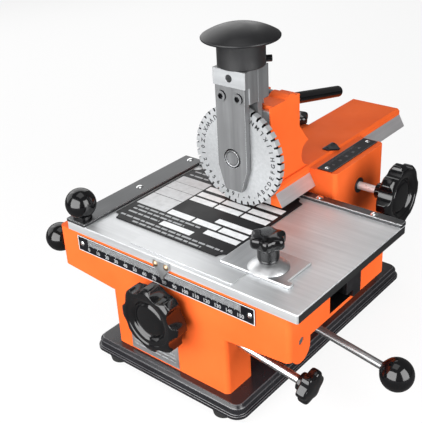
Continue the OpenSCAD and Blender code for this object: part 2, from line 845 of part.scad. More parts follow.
module bush() difference() {
    union() {
        rod_z(bush_r, -bush_l, 0);
        rod_z(bush_flange_r, 0, bush_flange_t);
    }
    rod_z(shaft_r + run_gap, -bush_l - 1, bush_flange_t + 1);
}

module traverse_bushes() color(brass) placed() {
    translate([0, -bed_front, traverse_z]) rotate([90, 0, 0]) bush();
    translate([0, leg_d - bed_front, traverse_z]) rotate([-90, 0, 0]) bush();
}

module feed_bushes() color(dark_steel) placed() translate([0, feed_y, feed_z]) {
    translate([column_w / 2, 0, 0]) rotate([0, 90, 0]) bush();
    difference() {
        rod_x(bush_r, -feed_in, -rack_channel);
        rod_x(shaft_r + run_gap, -feed_in - 1, 0);
    }
}

// Table

module screw_places() {
    for (y = rail_screw_y) translate([rail_mid_x, y, table_top + rail_t]) children();
    for (k = [0:fence_screws - 1])
        translate([fence_left + (k + 0.5) * fence_w_x / fence_screws, fence_mid_y, table_top + fence_h])
            children();
}

module screw_holes() screw_places() rod_z(screw_r + seat_gap, -screw_l - 0.5, 1);

module table_plate() color(steel) placed() difference() {
    translate([table_shift, 0, table_z]) bevel_plate(table_w, table_d, 2, table_t, 0.6);
    screw_holes();
    translate([clamp_mid.x, clamp_mid.y, table_z - 1]) cylinder(h = table_t + 2, r = stud_r + seat_gap);
    pointer_screw_places() rod_z(screw_r + seat_gap, -screw_l - 0.5, 1);
}

module slide_bar() color(dark_steel) placed() difference() {
    box([table_shift - bar_l / 2, bar_front, bar_bottom], [table_shift + bar_l / 2, bar_back, table_z]);
    box([-bar_l, bar_front - 1, bar_bottom - 1], [bar_l, bar_front + rack_w, traverse_tip + rack_t]);
}

module table_rack() color(steel) placed()
    translate([0, 0, traverse_tip]) front_extrude(bar_front, bar_front + rack_w)
        rack_outline(traverse_rack_l, rack_t);

module left_rail() color(steel) placed() difference() {
    translate([rail_mid_x, 0, table_top]) bevel_plate(rail_w, table_d, 1, rail_t, 0.5);
    screw_holes();
}

module rail_knob() color(black) placed() translate([rail_mid_x, rail_knob_y, table_top + rail_t]) {
    translate([0, 0, rail_knob_h - 3]) sphere(ball_r);
    rod_z(ball_r * 0.6, 0, ball_r * 0.5);
}

module rear_fence() color(steel) placed() difference() {
    translate([fence_left + fence_w_x / 2, fence_mid_y, table_top])
        bevel_plate(fence_w_x, fence_w, 1, fence_h, 0.4);
    screw_holes();
}

module table_screws() color(chrome) placed()
    screw_places() domed(screw_head_r, screw_head_h, screw_r, screw_l);

module pointer_screw_places()
    for (side = [-1, 1])
        translate([side * pointer_screw_x, -table_d / 2 - pointer_front, table_z + table_t / 2])
            rotate([90, 0, 0]) children();

module table_pointer() color(steel) placed() difference() {
    union() {
        front_extrude(-table_d / 2 - pointer_front, -table_d / 2)
            translate([-pointer_w / 2, table_z + 0.4]) square([pointer_w, table_t - 0.8]);
        front_extrude(-table_d / 2 - pointer_front, -table_d / 2 - pointer_back)
            polygon([[-pointer_w / 2, table_z + 1], [pointer_w / 2, table_z + 1],
                     [pointer_tip_w / 2, table_z - 4], [0.5, table_z - pointer_reach],
                     [-0.5, table_z - pointer_reach],
                     [-pointer_tip_w / 2, table_z - 4]]);
    }
    pointer_screw_places() rod_z(screw_r + seat_gap, -screw_l - 0.5, 1);
}

module pointer_screws() color(brass) placed()
    pointer_screw_places() domed(screw_head_r - 0.6, screw_head_h, screw_r, screw_l);

module nameplate() color(black) placed() difference() {
    translate([plate_mid.x, plate_mid.y, table_top])
        linear_extrude(plate_t) square([plate_w, plate_d], center = true);
    for (sx = [-1, 1], sy = [-1, 1])
        translate([plate_mid.x + sx * plate_w / 2, plate_mid.y + sy * plate_d / 2, 0])
            rod_z(plate_notch_r, table_top - 1, table_top + plate_t + 1);
}

module locating_strip() color(pale) placed()
    translate([strip_mid.x, strip_mid.y, table_top])
        linear_extrude(strip_t) rounded_rect(strip_w, strip_d, 1.5);

module side_stop() color(steel) placed() difference() {
    union() {
        translate([stop_plate_mid.x, stop_plate_mid.y, table_top])
            bevel_plate(stop_plate_w, stop_plate_d, 1.5, stop_plate_t, 0.5);
        translate([stop_plate_mid.x + stop_plate_w / 2, stop_plate_front + stop_tab_d / 2, table_top])
            bevel_plate(2 * stop_tab_w, stop_tab_d, 1.5, stop_plate_t, 0.5);
    }
    translate([clamp_mid.x, clamp_mid.y, 0])
        rod_z(stud_r + seat_gap, table_top - 1, table_top + stop_plate_t + 1);
}

module clamp_stud() color(dark_steel) placed()
    translate([clamp_mid.x, clamp_mid.y, 0])
        rod_z(stud_r, table_z + 0.5, table_top + clamp_h - star_t / 2 - 1);

module clamp_flange() color(chrome) placed() translate([clamp_mid.x, clamp_mid.y, flange_z]) {
    dome_r = (flange_r * flange_r + flange_h * flange_h) / (2 * flange_h);
    difference() {
        rotate_extrude() intersection() {
            translate([0, flange_h - dome_r]) circle(dome_r);
            square([flange_r, flange_h - 1]);
        }
        rod_z(stud_r + run_gap, -1, flange_h + 1);
    }
}

module clamp_knob() color(black) placed() translate([clamp_mid.x, clamp_mid.y, 0]) difference() {
    union() {
        rod_z(stem_r, flange_z + flange_h - 1, table_top + clamp_h - star_t + 1);
        translate([0, 0, table_top + clamp_h - star_t]) star_solid(star_r, star_t);
    }
    rod_z(stud_r + run_gap, flange_z, table_top + clamp_h - star_t / 2);
}

// Traverse shaft

module traverse_knob() color(black) placed()
    translate([0, traverse_knob_back, traverse_z]) rotate([90, 0, 0])
        hand_knob(knob_t, knob_gap - bush_flange_t - pass_gap);

module traverse_shaft() color(chrome) placed() translate([0, 0, traverse_z])
    rod_y(shaft_r, traverse_knob_back - knob_t / 2 + 1, lug_y + lug_l + 1);

module traverse_pinion() color(dark_steel) placed() translate([0, 0, traverse_z]) difference() {
    front_extrude(traverse_y - traverse_face / 2, traverse_y + traverse_face / 2)
        gear_outline(traverse_teeth);
    rod_y(shaft_r + seat_gap, traverse_y - rack_w, traverse_y + rack_w);
}

module ratchet_wheel() color(dark_steel) placed() translate([0, 0, traverse_z]) difference() {
    front_extrude(ratchet_y, ratchet_y + ratchet_t) ratchet_outline();
    rod_y(shaft_r + seat_gap, ratchet_y - 1, ratchet_y + ratchet_t + 1);
}

// Frame of the step lever: its rod runs along +Z here
module lever_place() translate([0, hub_y + hub_l / 2, traverse_z]) rotate([0, 90 + droop, 0]) children();

module step_lever() color(chrome) placed() difference() {
    pawl_at = ratchet_r + pawl_gap;
    union() {
        lever_place() rod_z(lever_r, hub_r - 2, lever_l - ball_bore_end);
        translate([0, 0, traverse_z]) {
            rod_y(hub_r, hub_y, hub_y + hub_l);
            box([-4, hub_y, -pawl_at - pawl_t], [4, hub_y + hub_l, -shaft_r - 2]);
            box([-4, ratchet_y, -pawl_at - pawl_t], [4, hub_y + 1, -pawl_at]);
        }
    }
    translate([0, 0, traverse_z]) rod_y(shaft_r + run_gap, ratchet_y - 5, hub_y + hub_l + 1);
}

module step_lever_ball() color(black) placed() lever_place() translate([0, 0, lever_l]) ball_knob(lever_r);

// Adjuster in the leg's right side: its rod runs along +Z here
module adjuster_place()
    translate([leg_right, adjust_y, adjust_z]) rotate([0, 90 + adjust_droop, 0]) children();

module adjuster_rod() color(chrome) placed()
    adjuster_place() rod_z(adjust_r, -adjust_in, adjust_l + star_t / 2);

module adjuster_knob() color(black) placed() adjuster_place() difference() {
    union() {
        rod_z(stem_r - 1, adjust_l - 4, adjust_l + 1);
        translate([0, 0, adjust_l]) star_solid(star_r, star_t);
    }
    rod_z(adjust_r + seat_gap, 0, adjust_l + star_t / 2 + 0.2);
}

// Stop rod through the bed

module stop_rod() color(chrome) placed() translate([0, stop_y, stop_z]) {
    rod_x(stop_r, stop_x + ball_bore_end, stop_end);
    rod_x(collar_r, collar_x, collar_x + collar_l);
}

module stop_ball() color(black) placed()
    translate([stop_x, stop_y, stop_z]) rotate([0, -90, 0]) ball_knob(stop_r);

// Arm

module riser_outline() difference() {
    polygon([[arm_front, arm_top - 1], [arm_front, riser_top], [riser_back, riser_top],
             [riser_back, gusset_start], [gusset_back, gusset_z], [gusset_back + 2, arm_top - 1]]);
    translate([gusset_back, notch_z]) circle(notch_r);
}

module tail_outline(grow)
    polygon([[-tail_neck - grow, head_back - 1], [tail_neck + grow, head_back - 1],
             [tail_neck + grow, head_back], [tail_wide + grow, head_back + tail_d + grow],
             [-tail_wide - grow, head_back + tail_d + grow],
             [-tail_neck - grow, head_back]]);

module tail_groove() translate([0, 0, groove_floor])
    linear_extrude(riser_top - groove_floor + 20) tail_outline(flank_gap);

module arm_casting() color(orange) placed() difference() {
    union() {
        front_extrude(arm_front, arm_front + arm_l) arm_outline(0);
        side_extrude(-riser_half, riser_half) riser_outline();
        translate([0, pin_y, pin_z]) rod_x(pin_boss_r, -riser_half, riser_half);
    }
    box([-guide_half, arm_front - 1, arm_z - 1], [guide_half, arm_front + guide_t, riser_top + 1]);
    tail_groove();
    box([-slit_half, slit_front, slit_bottom], [slit_half, gusset_back + 5, riser_top + 10]);
    translate([0, pin_y, pin_z]) rod_x(pin_r + seat_gap, -riser_half - 1, riser_half - pin_cover + 0.2);
    translate([0, 0, pin_z]) rod_y(pin_r + seat_gap, head_back, slit_front + 1);
    box([-rack_w / 2, arm_rack_y, arm_z - 1],
        [rack_w / 2, arm_rack_y + arm_rack_l, arm_z + rack_t - tooth_up]);
    arm_screw_places() rod_z(screw_r + seat_gap, -screw_l - 0.5, 2);
}

module guide_plate() color(steel) placed() difference() {
    box([-guide_half, arm_front, arm_z], [guide_half, arm_front + guide_t, guide_top]);
    tail_groove();
}

module arm_rack() color(steel) placed()
    translate([0, feed_y, arm_z - tooth_up]) intersection() {
        side_extrude(-rack_w / 2, rack_w / 2) rack_outline(2 * arm_rack_l, rack_t);
        box([-rack_w, arm_rack_y - feed_y, -1], [rack_w, arm_rack_y + arm_rack_l - feed_y, rack_t + 1]);
    }

module arm_screw_places()
    for (side = [-1, 1])
        translate([arm_pointer_x, arm_pointer_y + side * arm_screw_y, arm_top + arm_pointer_t]) children();

module arm_pointer() color(black) placed() difference() {
    side = arm_pointer_w / 2;
    translate([arm_pointer_x, arm_pointer_y, arm_top]) linear_extrude(arm_pointer_t)
        polygon([[-arm_pointer_back, -side], [arm_pointer_back, -side], [arm_pointer_reach, -0.8],
                 [arm_pointer_reach, 0.8], [arm_pointer_back, side], [-arm_pointer_back, side]]);
    arm_screw_places() rod_z(screw_r + seat_gap, -screw_l, 1);
}

module arm_pointer_screws() color(brass) placed()
    arm_screw_places() domed(screw_head_r - 0.6, screw_head_h, screw_r, screw_l);

module lever_pin() color(dark_steel) placed()
    translate([0, pin_y, pin_z]) rod_x(pin_r, -riser_half, riser_half - pin_cover);

module clamp_pad() color(brass) placed() translate([0, 0, pin_z])
    rod_y(pin_r, head_back + tail_d + 2 * flank_gap, slit_front + 1.5);

module return_spring() color(steel) placed() translate([0, head_back + tail_d / 2, 0]) difference() {
    rod_z(spring_r, groove_floor + 0.2, tail_bottom - 0.2);
    rod_z(spring_r - 1, groove_floor, tail_bottom);
}

// Frame of the clamp lever: its rod runs along +Z here
module grip_place() translate([0, pin_y, pin_z]) rotate([-90 - grip_droop, 0, 0]) children();

module clamp_lever() color(dark_steel) placed() difference() {
    union() {
        translate([0, pin_y, pin_z]) rod_x(pin_boss_r - 0.5, pass_gap - slit_half, slit_half - pass_gap);
        grip_place() translate([0, 3.4, 0]) rod_z(grip_r - 1.2, 0, grip_l - 4);
    }
    translate([0, pin_y, pin_z]) rod_x(pin_r + run_gap, -slit_half, slit_half);
}

module lever_grip() color(black) placed() grip_place() translate([0, 3.4, 0]) difference() {
    union() {
        rod_z(grip_r, 26, grip_l - 1);
        translate([0, 0, grip_l - 1]) cylinder(h = 1, r1 = grip_r, r2 = grip_r - 0.6);
    }
    rod_z(grip_r - 1.2 + seat_gap, 20, grip_l - 3.8);
}

// Line feed shaft and arm lock

module feed_knob() color(black) placed()
    translate([feed_knob_back, feed_y, feed_z]) rotate([0, 90, 0]) hand_knob(feed_knob_t, feed_boss_l);

module feed_shaft() color(chrome) placed() translate([0, feed_y, feed_z])
    rod_x(shaft_r, -feed_in + 0.5, feed_knob_back + feed_knob_t / 2 - 1);

module feed_pinion() color(dark_steel) placed() translate([0, feed_y, feed_z]) difference() {
    side_extrude(-feed_face / 2, feed_face / 2) gear_outline(feed_teeth);
    rod_x(shaft_r + seat_gap, -rack_w, rack_w);
}

module arm_lock_knob() color(black) placed() translate([lock_x, lock_y, column_top]) {
    translate([0, 0, lock_gap]) star_solid(lock_star_r, lock_star_t);
    rod_z(lock_stud_r, -lock_stud_l, lock_gap + 1);
}

// Head

module fork_screw_places()
    for (side = [-1, 1])
        translate([side * fork_screw_x, fork_front, fork_screw_z]) rotate([90, 0, 0]) children();

module press_slide() color(steel) placed() difference() {
    union() {
        box([-head_half, slide_front, slide_bottom], [head_half, head_back, block_z + 1]);
        box([-head_half, fork_back, block_z], [head_half, block_back, block_top]);
        box([-head_half, fork_front - lip_proud, block_top - lip_h], [head_half, fork_back + 1, block_top]);
        translate([0, 0, tail_bottom]) linear_extrude(tail_end - tail_bottom) tail_outline(0);
    }
    translate([0, 0, axle_z]) rod_y(axle_r + seat_gap, slide_front - 1, head_back + tail_d + 1);
    translate([plunger_at.x, 0, axle_z + plunger_at.y])
        rod_y(plunger_r + seat_gap, slide_front - 1, slide_front + 4);
    fork_screw_places() rod_z(cap_screw_r + seat_gap, -cap_screw_l - 0.5, 1);
    translate([0, 0, block_top - lip_h / 2]) rod_y(lip_hole_r, fork_front - 1, fork_front + 6);
    for (side = [-1, 1]) translate([side * head_half, slide_front + 0.8, 0])
        box([-0.4, -0.4, block_z - 1], [0.4, 0.4, block_top + 1]);
}

module fork_plate() color(steel) placed() difference() {
    front_extrude(fork_front, fork_back)
        polygon([[-fork_half, fork_top], [-fork_half, axle_z - fork_knee],
                 [-fork_tip_half, axle_z - fork_tip], [fork_tip_half, axle_z - fork_tip],
                 [fork_half, axle_z - fork_knee], [fork_half, fork_top]]);
    translate([0, 0, axle_z]) {
        rod_y(axle_r + seat_gap, fork_front - 1, fork_back + 1);
        rod_y(axle_relief_r, fork_front - 1, fork_front + axle_relief_d);
    }
    fork_screw_places() {
        rod_z(cap_screw_r + seat_gap, -fork_t - 1, 1);
        rod_z(cap_screw_head_r + seat_gap, cap_screw_proud - cap_screw_head_h, 1);
    }
}

module fork_screws() color(dark_steel) placed() fork_screw_places() difference() {
    union() {
        rod_z(cap_screw_head_r, cap_screw_proud - cap_screw_head_h, cap_screw_proud);
        rod_z(cap_screw_r, -cap_screw_l, 0);
    }
    translate([0, 0, cap_screw_proud - 2]) cylinder(h = 3, r = cap_screw_r, $fn = 6);
}

module wheel_axle() color(steel) placed() translate([0, 0, axle_z]) difference() {
    rod_y(axle_r, fork_front - axle_proud, head_back - 0.2);
    difference() {
        rod_y(axle_r - 0.8, fork_front - axle_proud - 1, fork_front - axle_proud + 0.5);
        rod_y(axle_r - 1.4, fork_front - axle_proud - 1, fork_front - axle_proud + 1);
    }
}

module index_plunger() color(brass) placed() translate([plunger_at.x, 0, axle_z + plunger_at.y])
    rod_y(plunger_r, wheel_back + pass_gap, slide_front + 3.5);

module type_wheel() color(steel) placed() translate([0, 0, axle_z]) difference() {
    union() {
        front_extrude(wheel_front, wheel_back) union() {
            circle(disc_r);
            for (k = [0:type_count - 1]) rotate(k * 360 / type_count)
                translate([disc_r - 1, -type_w / 2]) square([type_h + 1, type_w]);
        }
        rod_y(axle_r + 5, wheel_front - hub_proud, slide_front - wheel_gap + hub_proud);
    }
    rod_y(axle_r + run_gap, wheel_front - 1, slide_front);
}

module press_knob() color(black) placed() translate([0, head_mid_y, block_top]) difference() {
    under_h = mushroom_h * 0.14;
    dome_h = mushroom_h - under_h;
    rim_z = neck_h + under_h;
    dome_r = (cap_r * cap_r + dome_h * dome_h) / (2 * dome_h);
    union() {
        rod_z(neck_r, 0, neck_h + 1);
        rotate_extrude() intersection() {
            translate([0, rim_z + dome_h - dome_r]) circle(dome_r);
            translate([0, rim_z]) square([cap_r, dome_h]);
        }
        translate([0, 0, neck_h]) cylinder(h = under_h, r1 = cap_r - under_h, r2 = cap_r);
    }
    lock_screw_place() rod_z(lock_screw_r + seat_gap, -lock_screw_l / 2, lock_screw_l);
}

module lock_screw_place()
    translate([0, 0, lock_screw_z]) rotate([0, 0, 42]) translate([neck_r, 0, 0])
        rotate([0, 90, 0]) children();

module knob_lock_screw() color(black) placed() translate([0, head_mid_y, block_top])
    lock_screw_place() rod_z(lock_screw_r, -lock_screw_l / 2, lock_screw_l / 2);

base_plate();
rubber_feet();
bed_casting();
rear_support();
rear_column();
slide_gib();
front_scale();
column_scale();
scale_rivets();
data_plate();
traverse_bushes();
feed_bushes();
table_plate();
slide_bar();
table_rack();
left_rail();
rail_knob();
rear_fence();
table_screws();
table_pointer();
pointer_screws();
nameplate();
locating_strip();
side_stop();
clamp_stud();
clamp_flange();
clamp_knob();
traverse_knob();
traverse_shaft();
traverse_pinion();
ratchet_wheel();
step_lever();
step_lever_ball();
adjuster_rod();
adjuster_knob();
stop_rod();
stop_ball();
arm_casting();
guide_plate();
arm_rack();
arm_pointer();
arm_pointer_screws();
lever_pin();
clamp_pad();
return_spring();
clamp_lever();
lever_grip();
feed_knob();
feed_shaft();
feed_pinion();
arm_lock_knob();
press_slide();
fork_plate();
fork_screws();
wheel_axle();
index_plunger();
type_wheel();
press_knob();
knob_lock_screw();
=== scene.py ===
"""Looks of a bench machine that marks nameplates: finishes, printed scales, lettering and moulded knobs."""

import json
import math

import bmesh
import bpy
from mathutils import Matrix, Vector

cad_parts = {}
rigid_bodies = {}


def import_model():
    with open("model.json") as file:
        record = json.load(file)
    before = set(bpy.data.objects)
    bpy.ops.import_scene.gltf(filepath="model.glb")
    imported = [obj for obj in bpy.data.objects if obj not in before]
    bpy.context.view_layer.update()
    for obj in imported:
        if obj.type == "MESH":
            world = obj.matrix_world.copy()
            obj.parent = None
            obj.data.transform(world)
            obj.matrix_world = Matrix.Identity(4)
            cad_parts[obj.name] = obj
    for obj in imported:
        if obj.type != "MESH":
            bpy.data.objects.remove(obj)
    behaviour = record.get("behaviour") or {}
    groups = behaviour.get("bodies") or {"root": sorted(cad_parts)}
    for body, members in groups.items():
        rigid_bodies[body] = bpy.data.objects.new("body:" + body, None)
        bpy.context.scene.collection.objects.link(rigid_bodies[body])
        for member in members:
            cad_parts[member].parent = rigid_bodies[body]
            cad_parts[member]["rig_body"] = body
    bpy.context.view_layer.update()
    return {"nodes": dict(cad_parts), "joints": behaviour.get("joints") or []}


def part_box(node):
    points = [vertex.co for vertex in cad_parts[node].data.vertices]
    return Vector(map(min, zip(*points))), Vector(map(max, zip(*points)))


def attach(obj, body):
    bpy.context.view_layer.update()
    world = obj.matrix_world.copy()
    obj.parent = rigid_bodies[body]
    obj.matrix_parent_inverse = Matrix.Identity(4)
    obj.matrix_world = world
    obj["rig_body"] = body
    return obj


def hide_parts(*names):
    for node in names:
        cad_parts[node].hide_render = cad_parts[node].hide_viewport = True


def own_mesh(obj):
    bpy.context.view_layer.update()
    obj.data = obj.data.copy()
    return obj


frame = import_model()
NODES = frame["nodes"]
MM = 0.001

# Reference point of the machine: centre plane, table's centre line, floor
knob_low, knob_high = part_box("press_knob")
table_low, table_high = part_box("table_plate")
ORIGIN = Vector(((knob_low.x + knob_high.x) / 2, (table_low.y + table_high.y) / 2, 0))


def at(x, y, z):
    """A point given in millimetres from the machine's reference point."""
    return ORIGIN + Vector((x, y, z)) * MM


# Camera

IMAGE_SIZE = (422, 423)
FOCAL_PIXELS = 795.62
SENSOR_MM = 36
CLIP_START, CLIP_END = 0.01, 20
EYE = (348.7, -412.2, 411.2)
AZIMUTH, ELEVATION, ROLL = math.radians(41.34), math.radians(28.22), math.radians(-3.36)


def direction(azimuth, elevation):
    """Unit vector from the machine towards a place round it. Azimuth 0 is in front and turns to the right."""
    level = math.cos(elevation)
    return Vector((math.sin(azimuth) * level, -math.cos(azimuth) * level, math.sin(elevation)))


def make_camera():
    data = bpy.data.cameras.new("camera")
    data.sensor_width = SENSOR_MM
    data.lens = FOCAL_PIXELS * SENSOR_MM / max(IMAGE_SIZE)
    data.clip_start, data.clip_end = CLIP_START, CLIP_END
    back = direction(AZIMUTH, ELEVATION)
    level = Vector((math.cos(AZIMUTH), math.sin(AZIMUTH), 0))
    upright = back.cross(level)
    right = level * math.cos(ROLL) + upright * math.sin(ROLL)
    up = back.cross(right)
    camera = bpy.data.objects.new("camera", data)
    camera.matrix_world = Matrix.Translation(at(*EYE)) @ Matrix((right, up, back)).transposed().to_4x4()
    bpy.context.scene.collection.objects.link(camera)
    bpy.context.scene.camera = camera


# Node trees

# Sockets of a colour mix node, which are told apart by number
MIX_FACTOR = 0
MIX_A = 6
MIX_B = 7
MIX_RESULT = 2

# Range that most of a noise falls in
NOISE_LOW, NOISE_HIGH = 0.25, 0.75


class Tree:
    """A material's node tree, with short calls for the nodes that the finishes share."""

    def __init__(self, name):
        self.material = bpy.data.materials.new(name)
        self.material.use_nodes = True
        self.nodes = self.material.node_tree.nodes
        self.links = self.material.node_tree.links
        self.shader = self.nodes["Principled BSDF"]
        self.place = self.nodes.new("ShaderNodeTexCoord").outputs["Object"]

    def link(self, output, node_input):
        self.links.new(output, node_input)

    def set(self, **values):
        for name, value in values.items():
            self.shader.inputs[name.replace("_", " ").title().replace("Ior", "IOR")].default_value = value

    def stretched(self, scale):
        mapping = self.nodes.new("ShaderNodeMapping")
        mapping.inputs["Scale"].default_value = scale
        self.link(self.place, mapping.inputs["Vector"])
        return mapping.outputs["Vector"]

    def noise(self, scale, detail=4.0, roughness=0.5, stretch=(1, 1, 1)):
        node = self.nodes.new("ShaderNodeTexNoise")
        node.inputs["Scale"].default_value = scale
        node.inputs["Detail"].default_value = detail
        node.inputs["Roughness"].default_value = roughness
        self.link(self.stretched(stretch), node.inputs["Vector"])
        return node.outputs["Fac"]

    def ramp(self, source, dark, light, start, end):
        """Colour that goes from dark to light as source goes from start to end."""
        node = self.nodes.new("ShaderNodeValToRGB")
        for element, position, color in zip(node.color_ramp.elements, (start, end), (dark, light)):
            element.position = position
            element.color = (*color, 1)
        self.link(source, node.inputs["Fac"])
        return node.outputs["Color"]

    def span(self, source, low, high):
        """Number from low to high, as a noise goes over its usual range."""
        node = self.nodes.new("ShaderNodeMapRange")
        node.inputs["To Min"].default_value = low
        node.inputs["To Max"].default_value = high
        node.inputs["From Min"].default_value = NOISE_LOW
        node.inputs["From Max"].default_value = NOISE_HIGH
        self.link(source, node.inputs["Value"])
        return node.outputs["Result"]

    def bump(self, source, strength, distance):
        node = self.nodes.new("ShaderNodeBump")
        node.inputs["Strength"].default_value = strength
        node.inputs["Distance"].default_value = distance
        self.link(source, node.inputs["Height"])
        self.link(node.outputs["Normal"], self.shader.inputs["Normal"])

    def mix(self, amount, first, second):
        node = self.nodes.new("ShaderNodeMix")
        node.data_type = "RGBA"
        self.link(amount, node.inputs[MIX_FACTOR])
        for slot, value in ((MIX_A, first), (MIX_B, second)):
            if isinstance(value, tuple):
                node.inputs[slot].default_value = (*value, 1)
            else:
                self.link(value, node.inputs[slot])
        return node.outputs[MIX_RESULT]


# Finishes

# Scales of the noises, in waves per metre
MOTTLE, PEEL, UNEVEN = 22, 700, 60
CLOUD, POLISH = 34, 300
SKIN_TONE, SKIN_GLOSS = 40, 90
INK_COVER, INK_GLOSS = 260, 120

# Depths of the bumps in metres
PEEL_DEPTH, GRAIN_DEPTH, SKIN_DEPTH = 0.0003, 0.0001, 0.0002

CLOUD_SHARE = 0.6
TURNED_FAN = 0.4
POLISH_SHADE = 0.9
SKIN_STRENGTH = 0.05
INK_FADE, INK_HAZE = 0.82, 0.02


def enamel(name, dark, light, roughness, peel, gloss):
    """Sprayed enamel with orange peel and faint mottling."""
    tree = Tree(name)
    tree.link(tree.ramp(tree.noise(MOTTLE, 5), dark, light, 0.35, 0.65), tree.shader.inputs["Base Color"])
    uneven = tree.span(tree.noise(UNEVEN, 3), roughness - 0.05, roughness + 0.07)
    tree.link(uneven, tree.shader.inputs["Roughness"])
    tree.bump(tree.noise(PEEL, 2), peel, PEEL_DEPTH)
    tree.set(specular_ior_level=gloss)
    return tree.material


def ground_metal(
    name, dark, light, roughness, grain, scale=180, strength=0.12, turned_about=None, metal=1.0
):
    """Machined metal with fine lines along the direction in which grain is small, and a cloudy tone.

    turned_about names the axis of a face turned on a lathe, whose gloss fans out from the middle.
    """
    tree = Tree(name)
    lines = tree.noise(scale, 6, 0.65, grain)
    cloud = tree.noise(CLOUD, 4)
    tone = tree.ramp(lines, dark, light, 0.3, 0.7)
    tree.link(tree.mix(tree.span(cloud, 0, CLOUD_SHARE), tone, dark), tree.shader.inputs["Base Color"])
    tree.link(tree.span(lines, roughness - 0.06, roughness + 0.08), tree.shader.inputs["Roughness"])
    tree.bump(lines, strength, GRAIN_DEPTH)
    tree.set(metallic=metal)
    if turned_about:
        tangent = tree.nodes.new("ShaderNodeTangent")
        tangent.direction_type = "RADIAL"
        tangent.axis = turned_about
        tree.link(tangent.outputs["Tangent"], tree.shader.inputs["Tangent"])
        tree.set(anisotropic=TURNED_FAN)
    return tree.material


def plated(name, color, roughness):
    """Bright plating with faint polishing marks."""
    tree = Tree(name)
    marks = tree.noise(POLISH, 4)
    shade = tuple(c * POLISH_SHADE for c in color)
    tree.link(tree.ramp(marks, shade, color, 0.2, 0.8), tree.shader.inputs["Base Color"])
    tree.link(tree.span(marks, roughness, roughness + 0.08), tree.shader.inputs["Roughness"])
    tree.set(metallic=1.0)
    return tree.material


def moulded(name, dark, light, roughness, grain=500, gloss=0.5):
    """Moulded plastic or rubber with a fine skin and uneven gloss."""
    tree = Tree(name)
    tree.link(tree.ramp(tree.noise(SKIN_TONE, 4), dark, light, 0.3, 0.7), tree.shader.inputs["Base Color"])
    uneven = tree.span(tree.noise(SKIN_GLOSS, 4), roughness - 0.04, roughness + 0.08)
    tree.link(uneven, tree.shader.inputs["Roughness"])
    tree.bump(tree.noise(grain, 2), SKIN_STRENGTH, SKIN_DEPTH)
    tree.set(specular_ior_level=gloss)
    return tree.material


def printed(name, color, roughness):
    """Screen-printed ink with slightly uneven cover."""
    tree = Tree(name)
    faded = tuple(c * INK_FADE + INK_HAZE for c in color)
    tree.link(tree.ramp(tree.noise(INK_COVER, 5), faded, color, 0.3, 0.6), tree.shader.inputs["Base Color"])
    uneven = tree.span(tree.noise(INK_GLOSS, 3), roughness, roughness + 0.1)
    tree.link(uneven, tree.shader.inputs["Roughness"])
    return tree.material


# Stretch of a metal's grain
ALONG_X = (0.04, 1, 1)
ALONG_Y = (1, 0.04, 1)
ALONG_Z = (1, 1, 0.04)
ALL_WAYS = (1, 1, 1)

